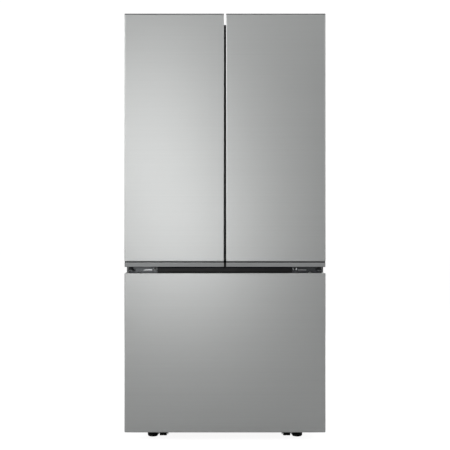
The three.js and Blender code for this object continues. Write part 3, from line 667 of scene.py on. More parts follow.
def fan(node, centre, axis, radius, blades, half):
    """A hub with a rounded nose and twisted blades that thin towards their edges."""
    profile = [(4, -half), (19, -half), (20, 1 - half), (20, half - 3), (18.5, half - 0.8), (16, half)]
    profile = [(r * MM, h * MM) for r, h in [*profile, (4, half)]]
    parts = [turned(f"{node}_finished", profile, (0, 0, 0), "Z", dark)]
    for blade in range(blades):
        rings = []
        for share in (0, 0.2, 0.4, 0.6, 0.8, 0.95, 1):
            reach = BLADE_ROOT + (radius - BLADE_ROOT) * share
            chord = radius * (0.52 + 0.20 * share - 0.3 * max(share - 0.9, 0))
            pitch = math.radians(34 - 16 * share)
            ring = []
            for step in range(16):
                turn = math.pi * step / 8
                along = chord / 2 * math.cos(turn)
                rise = 0.9 * MM * math.sin(turn) + 0.07 * chord * math.sin(turn) ** 2
                swept = (along * math.cos(pitch) - rise * math.sin(pitch)) / reach
                lift = along * math.sin(pitch) + rise * math.cos(pitch) - 0.03 * chord
                ring.append((reach * math.cos(swept), reach * math.sin(swept), lift))
            rings.append(ring)
        shape = lofted(f"{node}_blade", rings, dark)
        shape.data.transform(Matrix.Rotation(2 * math.pi * blade / blades, 4, "Z"))
        parts.append(shape)
    piece = joined(*parts)
    quarter_turn, about = (math.pi / 2, "Y") if axis == "X" else (-math.pi / 2, "X")
    piece.data.transform(Matrix.Translation(centre) @ Matrix.Rotation(quarter_turn, 4, about))
    return fitted(piece, node, "dark_plastic", node)


def joined(*parts):
    """Several shapes as one piece, which keeps the first one's name."""
    with bpy.context.temp_override(
        active_object=parts[0], selected_editable_objects=parts, selected_objects=parts
    ):
        bpy.ops.object.join()
    return parts[0]


eased("compressor", 1.2 * MM, enamel, "compressor_paint")
refinished(aluminium, "condenser")
CONDENSER_FAN = (0.022, 0.290, 0.162)
fan("condenser_fan", CONDENSER_FAN, "X", radius=0.072, blades=7, half=13)
eased("machine_cover", 0.4 * MM, galvanised, "galvanised_sheet", 1)
low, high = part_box("machine_cover")
screwed(
    "machine_cover_screws",
    "cabinet",
    [(x, high.y - 1.6 * MM, z) for x in (-0.396, 0, 0.396) for z in (low.z + 0.012, high.z - 0.012)],
    (0, 1, 0),
    height=1.5 * MM,
)


# ---- Liners
# Each compartment is one sheet of white plastic, vacuum formed with round corners and a flange round its
# mouth. Ledges formed in the side walls carry the drawers.
def white_plastic(name="white_liner_plastic", tone=(0.83, 0.845, 0.85)):
    finish = Finish(name, Coat_Weight=0.25, Coat_Roughness=0.2)
    cloud = finish.noise(size=2.2, detail=3.0)
    orange_peel = finish.noise(size=300.0, detail=2.0)
    finish.feed("Base Color", finish.mixed(cloud, tone, [min(1, channel * 1.06) for channel in tone]))
    finish.feed("Roughness", 0.30 + orange_peel * 0.12)
    finish.bumped(orange_peel, 0.00012, 0.35)
    return finish.material


liner_plastic = white_plastic()
LINER_FRONT = case_low.y
LINER_HALF = 0.367
LINER_WALL = 2.6 * MM


def compartment(name, outline):
    """A compartment's walls from its (y, z) outline, which starts and ends at the mouth."""
    count = len(outline)
    points = [(x, y, z) for x in (-LINER_HALF, LINER_HALF) for y, z in outline]
    faces = [(i, i + 1, count + i + 1, count + i) for i in range(count - 1)]
    faces += [tuple(range(count))[::-1], tuple(range(count, 2 * count))]
    piece = softened(made(name, points, faces, liner_plastic), 16 * MM, 5)
    wall = piece.modifiers.new("thickness", "SOLIDIFY")
    wall.thickness = LINER_WALL
    wall.offset = 1
    return piece


def frame_ring(name, inner, outer, front, corners, depth=3 * MM, lip=2.5 * MM):
    """A flat upright ring with softened edges, between two boxes that are (x0, x1, z0, z1)."""

    def ring(box, grow, y, radius):
        x0, x1, z0, z1 = box
        plan = round_rect(x0 - grow, x1 + grow, z0 - grow, z1 + grow, radius)
        return [(x, y, z) for x, z in plan]

    rear = front + depth
    inner_corner, outer_corner = corners
    return lofted(name, [
        ring(inner, 0, rear, inner_corner),
        ring(inner, 0, front + lip, inner_corner),
        ring(inner, lip * 0.3, front + lip * 0.3, inner_corner + lip * 0.3),
        ring(inner, lip, front, inner_corner + lip),
        ring(outer, -lip, front, max(outer_corner - lip, 0.4 * MM)),
        ring(outer, -lip * 0.3, front + lip * 0.3, outer_corner),
        ring(outer, 0, front + lip, outer_corner),
        ring(outer, 0, rear, outer_corner),
    ], liner_plastic, loop=True)


def round_rect(x0, x1, y0, y1, radius, steps=5):
    """The outline of a rectangle with round corners, anticlockwise."""
    return [
        *quarter((x0 + radius, y0 + radius), radius, 180, steps),
        *quarter((x1 - radius, y0 + radius), radius, 270, steps),
        *quarter((x1 - radius, y1 - radius), radius, 0, steps),
        *quarter((x0 + radius, y1 - radius), radius, 90, steps),
    ]


def ledge_pair(name, reach, y0, y1, top):
    """Ledges on both side walls, thicker where they meet the wall."""
    sides = []
    for sign in (-1, 1):
        wall, tip = sign * (LINER_HALF + 1 * MM), sign * reach
        section = [(wall, top - 0.016), (tip, top - 5 * MM), (tip, top), (wall, top)]
        rings = [[(x, y, z) for x, z in section] for y in (y0, y1)]
        sides.append(softened(lofted(name, rings, liner_plastic), 1.6 * MM))
    return joined(*sides)


fridge_low, fridge_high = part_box("fridge_liner")
FRIDGE_FLOOR, FRIDGE_CEILING, LINER_BACK = 0.765, 1.690, 0.347
walls = compartment("fridge_liner_walls", [
    (LINER_FRONT + 1 * MM, FRIDGE_FLOOR),
    (LINER_BACK, FRIDGE_FLOOR),
    (LINER_BACK, FRIDGE_CEILING),
    (LINER_FRONT + 1 * MM, FRIDGE_CEILING),
])
fitted(walls, "cabinet", "liner_plastic", "fridge_liner")
mouth = (-LINER_HALF, LINER_HALF, FRIDGE_FLOOR, FRIDGE_CEILING)
flange_box = (fridge_low.x, fridge_high.x, fridge_low.z, case_high.z - CASE_FLANGE - 0.3 * MM)
corners = (16 * MM, 2 * MM)
flange = frame_ring("fridge_liner_flange", mouth, flange_box, LINER_FRONT, corners)
fitted(flange, "cabinet", "liner_plastic")
LEDGE_FRONT, LEDGE_BACK, CRISPER_LEDGE = -0.120, 0.330, 0.886
for name, reach, top in (("crisper_ledges", 0.344, CRISPER_LEDGE), ("cover_ledges", 0.357, 1.0775)):
    ledges = ledge_pair(name, reach, LEDGE_FRONT, LEDGE_BACK, top)
    fitted(ledges, "cabinet", "liner_plastic")

freezer_low, freezer_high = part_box("freezer_liner")
FREEZER_FLOOR, FREEZER_CEILING, FREEZER_LOW_BACK, HUMP_TOP = 0.103, 0.653, 0.100, 0.372
walls = compartment("freezer_liner_walls", [
    (LINER_FRONT + 1 * MM, FREEZER_FLOOR),
    (FREEZER_LOW_BACK, FREEZER_FLOOR),
    (FREEZER_LOW_BACK, HUMP_TOP),
    (LINER_BACK, HUMP_TOP),
    (LINER_BACK, FREEZER_CEILING),
    (LINER_FRONT + 1 * MM, FREEZER_CEILING),
])
fitted(walls, "cabinet", "liner_plastic", "freezer_liner")
mouth = (-LINER_HALF, LINER_HALF, FREEZER_FLOOR, FREEZER_CEILING)
flange_box = (freezer_low.x, freezer_high.x, freezer_low.z, freezer_high.z)
corners = (3 * MM, 2 * MM)
flange = frame_ring("freezer_liner_flange", mouth, flange_box, LINER_FRONT, corners)
fitted(flange, "cabinet", "liner_plastic")
DRAWER_LEDGE_FRONT, DRAWER_LEDGE_BACK, DRAWER_LEDGE = -0.230, 0.250, 0.598
ledges = ledge_pair("upper_drawer_ledges", 0.345, DRAWER_LEDGE_FRONT, DRAWER_LEDGE_BACK, DRAWER_LEDGE)
fitted(ledges, "cabinet", "liner_plastic")


# ---- Evaporator and its cover
# Aluminium plate fins on a copper tube at the back of the freezer, behind a white moulded cover with
# slots for the returning air and an opening for the fan that blows the cold air forward.
def drawn_copper():
    finish = Finish("drawn_copper", Metallic=1.0)
    stain = finish.noise(size=22.0, detail=5.0, rough=0.7)
    finish.feed("Base Color", finish.mixed(stain, (0.50, 0.24, 0.15), (0.78, 0.44, 0.30)))
    finish.feed("Roughness", 0.24 + stain * 0.25)
    finish.bumped(stain, 0.00005, 0.3)
    return finish.material


def tube(name, path, radius, finish, sides=14):
    """A round tube along a path, its section kept square to it."""
    rings = []
    for i, point in enumerate(path):
        before, after = Vector(path[max(i - 1, 0)]), Vector(path[min(i + 1, len(path) - 1)])
        along = (after - before).normalized()
        across = along.cross(Vector((0.31, 0.17, 0.93))).normalized()
        up = along.cross(across)
        angles = [2 * math.pi * side / sides for side in range(sides)]
        offsets = [(across * math.cos(a) + up * math.sin(a)) * radius for a in angles]
        rings.append([tuple(Vector(point) + offset) for offset in offsets])
    return lofted(name, rings, finish)


def plate_fin_pattern():
    pattern = Pattern("plate_fins", ("Width", "Depth", "Height"))
    size = {0: pattern.given["Width"], 1: pattern.given["Depth"], 2: pattern.given["Height"]}
    box = pattern.node("ShaderNodeCombineXYZ", values=size)
    return pattern.repeated(pattern.node("GeometryNodeMeshCube", values={"Size": box}))


def coil(node, fins, rows=6):
    """Plate fins on a serpentine copper tube that runs back and forth through them in two lanes."""
    low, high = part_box(node)
    middle = (low + high) / 2
    pitch = (high.x - low.x) / (fins - 1)
    places = [(low.x + pitch * i, middle.y, middle.z) for i in range(fins)]
    depth, height = high.y - low.y, high.z - low.z
    piece = plates.at(f"{node}_fins", places, aluminium, Width=0.4 * MM, Depth=depth, Height=height)
    fitted(piece, "cabinet", "aluminium_fins", node)
    step = height / rows
    bend = step / 2
    for lane in (0.3, 0.7):
        y = low.y + depth * lane
        path = []
        for row in range(rows):
            z = low.z + step * (row + 0.5)
            ends = (low.x - 1 * MM, high.x + 1 * MM)
            way = 1 if row % 2 == 0 else -1
            start, stop = ends[::way]
            path += [(start + (stop - start) * i / 6, y, z) for i in range(7)]
            if row < rows - 1:
                turns = [math.radians(-90 + 180 * i / 8) for i in range(1, 8)]
                path += [
                    (stop + way * 10 * MM * math.cos(a), y, z + bend + bend * math.sin(a))
                    for a in turns
                ]
        pipe = tube(f"{node}_tube_{int(lane * 10)}", path, 3.2 * MM, copper)
        fitted(pipe, "cabinet", "aluminium_fins")


plates = plate_fin_pattern()
copper = drawn_copper()
coil("evaporator", fins=64)
eased("evaporator_cover", 0.7 * MM, liner_plastic, "liner_plastic")
EVAPORATOR_FAN = (0, 0.277, 0.586)
fan("evaporator_fan", EVAPORATOR_FAN, "Y", radius=0.053, blades=5, half=9)


# ---- Air panel, light and controls
# A white moulded panel up the back wall, whose raised duct lets cold air out between the shelves. Rows
# of slots in three uprights carry the shelf brackets. The light and the controls are in the ceiling.
def slot_black():
    finish = Finish("slot_shadow", Specular_IOR_Level=0.1, Roughness=0.9)
    dust = finish.noise(size=90.0)
    finish.feed("Base Color", finish.mixed(dust, (0.010, 0.010, 0.011), (0.02, 0.02, 0.02)))
    return finish.material


def frosted_diffuser():
    finish = Finish("frosted_diffuser", Specular_IOR_Level=0.5)
    lens = finish.cells(420.0)
    finish.feed("Base Color", finish.mixed(lens, (0.80, 0.82, 0.83), (0.93, 0.94, 0.95)))
    finish.feed("Roughness", 0.25 + lens * 0.2)
    finish.bumped(lens, 0.0003, 0.5)
    return finish.material


eased("air_panel", 2.2 * MM, liner_plastic, "liner_plastic", 3)
shadow = slot_black()
diffuser = frosted_diffuser()
LADDER_LOW, LADDER_PITCH, LADDER_STEPS = 1.125, 0.020, 26
UPRIGHTS = ((-0.345, 0.3374), (0.345, 0.3374), (-0.0022, 0.3119), (0.0022, 0.3119))
ladder = [(x, y, LADDER_LOW + i * LADDER_PITCH) for x, y in UPRIGHTS for i in range(LADDER_STEPS)]
slots = plates.at("shelf_upright_slots", ladder, shadow, Width=2.2 * MM, Depth=0.4 * MM, Height=0.011)
fitted(slots, "cabinet", "dark_plastic")



def ceiling_box(name, half, front, back, corner, levels, finish):
    """A shallow box under the ceiling. Each level is an inset and a drop."""
    rings = []
    for inset, drop in levels:
        plan = round_rect(-half + inset, half - inset, front + inset, back - inset, corner)
        rings.append([(x, y, FRIDGE_CEILING - drop) for x, y in plan])
    return lofted(name, rings, finish)


light_levels = ((0, 0), (0, 4 * MM), (3 * MM, 8 * MM))
light = ceiling_box("ceiling_light", 0.16, -0.24, -0.16, 12 * MM, light_levels, diffuser)
fitted(softened(light, 1.2 * MM), "cabinet", "clear_bin")
strip_levels = ((0, 0), (0, 1.6 * MM), (1 * MM, 2.4 * MM))
strip = ceiling_box("control_strip", 0.11, -0.312, -0.272, 8 * MM, strip_levels, dark)
fitted(strip, "cabinet", "dark_plastic")
places = [(x, -0.292, FRIDGE_CEILING - 2.6 * MM) for x in (-0.075, -0.045, -0.015, 0.015, 0.045, 0.075)]
keys = plates.at("control_keys", places, diffuser, Width=0.016, Depth=0.010, Height=0.8 * MM)
fitted(keys, "cabinet", "dark_plastic")


# ---- Glass shelves
# Tempered glass in a moulded nosing and a rear lip. Painted steel brackets under each end hook into the
# slots of the uprights.
def run(name, outline, x0, x1, finish, edge=0.8 * MM, steps=2):
    """A profile given as (y, z) points, carried along X and softened."""
    rings = [[(x, y, z) for y, z in outline] for x in (x0, x1)]
    return softened(lofted(name, rings, finish), edge, steps)


def bar(name, low, high, edge, finish, steps=3):
    """A moulded bar between two corners, with rounded edges."""
    outline = [(low[1], low[2]), (high[1], low[2]), (high[1], high[2]), (low[1], high[2])]
    return run(name, outline, low[0], high[0], finish, edge, steps)


def shelf_glass():
    finish = Finish("tempered_glass", IOR=1.5, Coat_Weight=0.3, Coat_Roughness=0.03)
    rim = finish.node("ShaderNodeLayerWeight", values={"Blend": 0.35}, output=1)
    smear = finish.noise(size=9.0, detail=4.0)
    finish.feed("Base Color", finish.mixed(rim, (0.80, 0.93, 0.90), (0.30, 0.62, 0.52)))
    finish.feed("Roughness", 0.03 + smear * 0.05)
    finish.feed("Alpha", (0.20 + rim * 0.65).clamped())
    return finish.material


def satin_trim():
    finish = Finish("satin_trim", Metallic=0.9)
    hair = finish.noise((2.0, 900.0, 900.0), detail=2.0)
    finish.feed("Base Color", finish.mixed(hair, (0.50, 0.51, 0.52), (0.66, 0.67, 0.68)))
    finish.feed("Roughness", 0.28 + hair * 0.14)
    finish.bumped(hair, 0.00002, 0.4)
    return finish.material


glass = shelf_glass()
satin = satin_trim()


def nosing(front, back, low, high):
    """The section of a shelf's front trim: a rounded nose over a pocket for the glass."""
    round_front = [
        (front + 5 * MM - 5 * MM * math.cos(a), (low + high) / 2 + (high - low) / 2 * math.sin(a))
        for a in [math.radians(90 - 180 * i / 10) for i in range(11)]
    ]
    return [(back, high - 1 * MM), *round_front, (back, low + 2 * MM)]


SHELF_FRONT = -0.192
SHELF_GLASS = 4.5 * MM


def glass_shelf(node, brackets):
    """A shelf: its pane, the trims on its front and back edges, and a bracket at each (x, back)."""
    low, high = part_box(node)
    top = high.z - 8 * MM
    near = (low.x + 1 * MM, SHELF_FRONT + 5 * MM, top - SHELF_GLASS)
    pane = bar(f"{node}_pane", near, (high.x - 1 * MM, 0.303, top), 0.8 * MM, glass)
    fitted(pane, "cabinet", "shelf_glass", node)
    section = nosing(SHELF_FRONT, SHELF_FRONT + 18 * MM, top - 0.012, top + 3.5 * MM)
    nose = run(f"{node}_nosing", section, low.x, high.x, satin, 0.5 * MM)
    fitted(nose, "cabinet", "handle_trim")
    section = [(0.297, top - 7 * MM), (0.3075, top - 7 * MM), (0.3075, top + 7.5 * MM)]
    section += [(0.303, top + 7.5 * MM), (0.301, top + 0.5 * MM), (0.297, top + 0.5 * MM)]
    lip = run(f"{node}_rear_lip", section, low.x, high.x, liner_plastic)
    fitted(lip, "cabinet", "liner_plastic")
    arms = []
    for x, back in brackets:
        under = top - 5 * MM
        arm = [(-0.060, under), (-0.060, under - 4 * MM), (0.12, under - 9 * MM)]
        arm += [(back - 0.012, under - 0.0150), (back, under - 0.0150), (back, under)]
        x0, x1 = x - 1.8 * MM, x + 1.8 * MM
        arms.append(run(f"{node}_brackets", arm, x0, x1, liner_plastic, 0.5 * MM))
    fitted(joined(*arms), "cabinet", "liner_plastic")


OUTER_BRACKET, OUTER_BACK, INNER_BRACKET, INNER_BACK = 0.345, 0.3370, 0.0055, 0.3115
glass_shelf("upper_shelf_left", [(-OUTER_BRACKET, OUTER_BACK), (-INNER_BRACKET, INNER_BACK)])
glass_shelf("upper_shelf_right", [(INNER_BRACKET, INNER_BACK), (OUTER_BRACKET, OUTER_BACK)])
glass_shelf("middle_shelf", [(-OUTER_BRACKET, OUTER_BACK), (OUTER_BRACKET, OUTER_BACK)])


# ---- Crisper cover
# A tempered glass lid over both crispers, in a white moulded frame that rests on ledges of the liner.
# The hanger under its middle carries the crispers' inner edges.
low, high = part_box("crisper_cover")
top = high.z - 8 * MM
near = (low.x + 3 * MM, -0.146, top - SHELF_GLASS)
pane = bar("crisper_cover_pane", near, (high.x - 3 * MM, 0.326, top), 0.8 * MM, glass)
fitted(pane, "cabinet", "shelf_glass", "crisper_cover")
section = nosing(-0.156, -0.138, top - 7 * MM, top + 4 * MM)
nose = run("crisper_cover_nosing", section, low.x, high.x, satin, 0.5 * MM)
fitted(nose, "cabinet", "handle_trim")
section = [(-1.5, top - 5 * MM), (-1.5, CRISPER_LEDGE), (-16, 0.8855), (-16, 0.8805)]
section += [(16, 0.8805), (16, 0.8855), (1.5, CRISPER_LEDGE), (1.5, top - 5 * MM)]
rings = [[(x * MM, y, z) for x, z in section] for y in (LEDGE_FRONT, LEDGE_BACK)]
hanger = softened(lofted("crisper_hanger", rings, liner_plastic), 0.7 * MM)
fitted(hanger, "cabinet", "liner_plastic")
near, far = (low.x, 0.314, top - 6 * MM), (high.x, 0.314 + 0.016, top + 1.5 * MM)
rail = bar("crisper_cover_rails", near, far, 1.5 * MM, liner_plastic)
fitted(rail, "cabinet", "liner_plastic")


# ---- Centre rail and door hinges
# A dark painted rail divides the compartments. Two black strips along it are painted shadow lines,
# under the doors and above the drawer. The middle hinges are thick steel angles bolted to it, coloured
# dark as painted shade. The upper ones are zinc plated and sit on the case top under moulded covers,
# and every hinge has a pin for its door.
def dark_paint():
    finish = Finish("dark_rail_paint", Coat_Weight=0.2, Coat_Roughness=0.3, Specular_IOR_Level=0.4)
    pebble = finish.cells(600.0, "SMOOTH_F1")
    cloud = finish.noise(size=4.0)
    finish.feed("Base Color", finish.mixed(cloud, (0.038, 0.040, 0.040), (0.058, 0.060, 0.060)))
    finish.feed("Roughness", 0.40 + pebble * 0.2)
    finish.bumped(pebble, 0.00025, 0.5)
    return finish.material


def cap_plastic():
    finish = Finish("textured_cap_plastic", Specular_IOR_Level=0.4)
    leather = finish.cells(820.0, "SMOOTH_F1")
    cloud = finish.noise(size=6.0)
    finish.feed("Base Color", finish.mixed(cloud, (0.085, 0.089, 0.092), (0.115, 0.120, 0.124)))
    finish.feed("Roughness", 0.42 + leather * 0.2)
    finish.bumped(leather, 0.0002, 0.45)
    return finish.material


def shade_darkened_hinge_steel():
    # The dark base colour is painted shade: it stands in for the shadow that falls on the hinge plates
    # in the recess.
    finish = Finish("shade_darkened_hinge_steel", Metallic=1.0)
    cloud = finish.noise((1, 1, 2), size=40.0, detail=5.0, rough=0.6)
    finish.feed("Base Color", finish.mixed(cloud, (0.10, 0.105, 0.11), (0.24, 0.25, 0.26)))
    finish.feed("Roughness", 0.26 + cloud * 0.2)
    finish.bumped(cloud, 0.0001, 0.4)
    return finish.material


shade_darkened_hinge_finish = shade_darkened_hinge_steel()
rail_paint = dark_paint()
cap_grey = cap_plastic()
eased("center_rail", 0.8 * MM, rail_paint, "dark_rail_paint", 3)

# Painted shadow: black strips along the top and bottom of the rail stand in for the shadow lines in the
# recess.
SHADOW_STRIP_HALF = 0.283
SHADOW_STRIP_HEIGHTS = ((0.6900, 0.6990), (0.7155, 0.7215))
shadow_strip_front, shadow_strip_back = case_low.y - 2.6 * MM, case_low.y + 0.5 * MM
shadow_strips = []
for z0, z1 in SHADOW_STRIP_HEIGHTS:
    near, far = (-SHADOW_STRIP_HALF, shadow_strip_front, z0), (SHADOW_STRIP_HALF, shadow_strip_back, z1)
    shadow_strips.append(bar("rail_shadow_strips", near, far, 1.2 * MM, rubber))
fitted(joined(*shadow_strips), "cabinet", "black_rubber")


def bolt(name, x, y, z, radius, socket):
    """A flanged button head bolt with a hexagon socket, whose floor is a dark disc of painted shade. Its
    radius and socket are in millimetres.
    """
    profile = [(socket, 1.2), (socket, 4.6), (radius * 0.62, 4.9), (radius * 0.74, 4.2)]
    profile += [(radius * 0.80, 2.2), (radius * 0.86, 1.7), (radius * 0.98, 1.5), (radius, 1.0)]
    rings = []
    for ring_radius, along in [*profile, (radius, 0), (socket, 0)]:
        ring = []
        for step in range(36):
            turn = 2 * math.pi * step / 36
            flat = math.cos(math.pi / 6) / math.cos((turn % (math.pi / 3)) - math.pi / 6)
            reach = ring_radius * (flat if ring_radius == socket else 1) * MM
            ring.append((x + reach * math.cos(turn), y - along * MM, z + reach * math.sin(turn)))
        rings.append(ring)
    head = lofted(name, rings, zinc, loop=True)
    # Painted shade: the socket's floor takes the dark rail paint rather than zinc.
    socket_shade_disc = [(0.2 * MM, -1.2 * MM), (socket * MM, -1.2 * MM), (socket * MM, 0)]
    floor = turned(f"{name}_floor", socket_shade_disc, (x, y, z), "Y", rail_paint, 24)
    return joined(head, floor)


PIN_X = 0.392
PIN_Y = cad_low.y + 0.044
ARM_TOP = 0.708
RING_BOLT_X, RING_BOLT_Z = 0.2945, 0.7115
PLATE_BOLT_X, PLATE_BOLT_HEIGHTS = 0.358, (0.7245, 0.6940)
BEAD_START, BEAD_END, BEAD_LOW, BEAD_HIGH = 0.306, 0.343, 0.7030, 0.7105
plate_face = case_low.y - 3.3 * MM


for side, sign in (("left", -1), ("right", 1)):
    eased(f"middle_hinge_{side}", 0.9 * MM, shade_darkened_hinge_finish, "bright_zinc", 3)
    eased(f"upper_hinge_{side}", 0.6 * MM, zinc, "bright_zinc")
    eased(f"hinge_cover_{side}", 2.4 * MM, cap_grey, "cap_plastic", 4)
    bolts = [bolt(f"{side}_hinge_bolts", sign * RING_BOLT_X, plate_face, RING_BOLT_Z, 9.6, 4.6)]
    for z in PLATE_BOLT_HEIGHTS:
        bolts.append(bolt("bolt", sign * PLATE_BOLT_X, plate_face, z, 6.0, 2.6))
    fitted(joined(*bolts), "cabinet", "bright_zinc")
    # A pressed bead stiffens the angle between its bolts. Its bright zinc against the dark angle is a
    # painted highlight for the lit hinge arm.
    x0, x1 = sorted((sign * BEAD_START, sign * BEAD_END))
    near, far = (x0, plate_face - 2.6 * MM, BEAD_LOW), (x1, plate_face + 1 * MM, BEAD_HIGH)
    bead = bar(f"{side}_hinge_bead", near, far, 2.2 * MM, zinc, 4)
    fitted(bead, "cabinet", "bright_zinc")
    # A nylon thrust washer and its sleeve, between the hinge arm and the door's lower edge.
    pin = (sign * PIN_X, PIN_Y, ARM_TOP)
    collar = [(5.2, 0), (10.5, 0), (11, 0.6), (11, 5.4), (10.5, 6), (7.2, 6), (7, 13.5), (5.2, 13.5)]
    washer = turned(f"{side}_thrust_washer", [(r * MM, h * MM) for r, h in collar], pin, "Z", dark)
    fitted(washer, "cabinet", "dark_plastic")


# ---- Door skins and drawer skin
# Each is one sheet of stainless steel, brushed from side to side and folded round the front and both
# sides of its door, with a small return at top and bottom. It is foamed onto the inner panel.
def brushed_stainless():
    steel = Finish("brushed_stainless", Metallic=1.0)
    hair = steel.noise((3.0, 3.0, 1500.0), detail=2.0, rough=0.6)
    streak = steel.noise((0.9, 0.9, 170.0), detail=4.0, rough=0.7)
    cloud = steel.noise(size=2.3, detail=2.0)
    tone = (hair * 0.45 + streak * 0.45 + cloud * 0.1).clamped()
    steel.feed("Base Color", steel.mixed(tone, (0.610, 0.620, 0.615), (0.712, 0.722, 0.715)))
    steel.feed("Roughness", 0.36 + hair * 0.10 + streak * 0.06)
    steel.bumped(hair * 0.7 + streak * 0.3, 0.00002, 0.5)
    return steel.material


SKIN_CORNER = 4 * MM
SKIN_SHEET = 0.9 * MM
SKIN_FOLD = 3.4 * MM
SKIN_RETURN = 12 * MM
HEM = 4 * MM
CAP_PROUD = 3 * MM  # the top cap stands above the sheet
NOTCH_INNER, NOTCH_FRONT, NOTCH_FLOOR = 0.364, cad_low.y + 0.010, 1.736
stainless = brushed_stainless()


def skin(name, node, below_top=0):
    low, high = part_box(node)

    def plan(inset):
        """From the left hem round the front to the right hem."""
        radius = max(SKIN_CORNER - inset, 0.3 * MM)
        west, east, south = low.x + inset, high.x - inset, low.y + inset
        return [
            (low.x + HEM, high.y),
            (west, high.y),
            *quarter((west + radius, south + radius), radius, 180),
            *quarter((east - radius, south + radius), radius, 270),
            (east, high.y),
            (high.x - HEM, high.y),
        ]

    rows = returned(low.z, SKIN_FOLD, SKIN_RETURN)
    rows += returned(high.z - below_top, SKIN_FOLD, SKIN_RETURN, -1)[::-1]
    return folded_sheet(name, plan, rows, lambda x, y, z: (x, y, z), SKIN_SHEET, stainless)


def cut_away(piece, low, high):
    """Takes a block out of a piece."""
    block = bar("block", low, high, 0, stainless)
    block.modifiers.clear()
    away = piece.modifiers.new("cut", "BOOLEAN")
    away.operation = "DIFFERENCE"
    away.object = block
    settled(piece)
    bpy.data.objects.remove(block)
    return piece


for side, sign in (("left", -1), ("right", 1)):
    sheet = skin(f"{side}_door_steel", f"{side}_door_skin", CAP_PROUD)
    x0, x1 = sorted((sign * NOTCH_INNER, sign * 0.45))
    cut_away(sheet, (x0, NOTCH_FRONT, NOTCH_FLOOR), (x1, 0, 1.9))
    fitted(sheet, f"{side}_door", "stainless_skin", f"{side}_door_skin")
sheet = skin("freezer_drawer_steel", "freezer_drawer_skin")
fitted(sheet, "freezer_drawer", "stainless_skin", "freezer_drawer_skin")


# ---- Door top caps
# A dark moulded cap closes the top of each door and stands a little above the steel. A corner of it is
# left out over the hinge.
def door_cap(side, sign):
    low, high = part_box(f"{side}_door_skin")
    inner, outer = sorted((abs(low.x), abs(high.x)))

    def plan(inset, z):
        near, far, front, back = inner + inset, outer - inset, low.y + inset, high.y - 0.5 * MM
        corner = NOTCH_INNER - 0.4 * MM
        step = NOTCH_FRONT - 0.4 * MM
        points = [(near, front), (far, front), (far, step), (corner, step), (corner, back), (near, back)]
        return [(sign * x, y, z) for x, y in points]

    edge = high.z - CAP_PROUD
    levels = [(1.2, NOTCH_FLOOR), (1.2, edge - 1.2 * MM), (1.2, edge + 0.1 * MM), (0.7, edge + 0.1 * MM)]
    levels += [(0.7, high.z - 0.7 * MM), (1.4, high.z)]
    cap = lofted(f"{side}_door_cap", [plan(inset * MM, z) for inset, z in levels], cap_grey)
    x0, x1 = sorted((sign * (inner + 1.2 * MM), sign * (outer - 1.2 * MM)))
    near_low = (x0, low.y + 1.2 * MM, NOTCH_FLOOR - 1 * MM)
    floor = bar("floor", near_low, (x1, high.y - 0.6 * MM, NOTCH_FLOOR), 0.2 * MM, cap_grey)
    pin = (sign * PIN_X, PIN_Y, NOTCH_FLOOR)
    collar = [(r * MM, h * MM) for r, h in ((5.4, 0), (9, 0), (9, 1.6), (8.4, 2.2), (5.4, 2.2))]
    ring = turned("collar", collar, pin, "Z", dark)
    for part in (floor, ring):
        settled(part)
    fitted(joined(cap, floor, ring), f"{side}_door", "cap_plastic")


for side, sign in (("left", -1), ("right", 1)):
    door_cap(side, sign)


# ---- Inner door panels
# Vacuum formed white plastic, with a raised wall round the middle that stiffens the door, keeps the cold
# in and carries the bins on small moulded bosses.
panel_plastic = white_plastic("white_door_panel", (0.82, 0.835, 0.84))
SLAB_TOP = 1.735
PANEL_BACK = cad_low.y + 0.084 - 0.5 * MM
BIN_LEVELS = {"left": (0.796, 1.130, 1.450), "right": (0.796, 1.130)}
BOSS_SIDES = ((0.0735, 0.0760), (0.3350, 0.3375))
LUG_HEIGHTS = (0.780, 1.668)  # of the mullion flap's pins


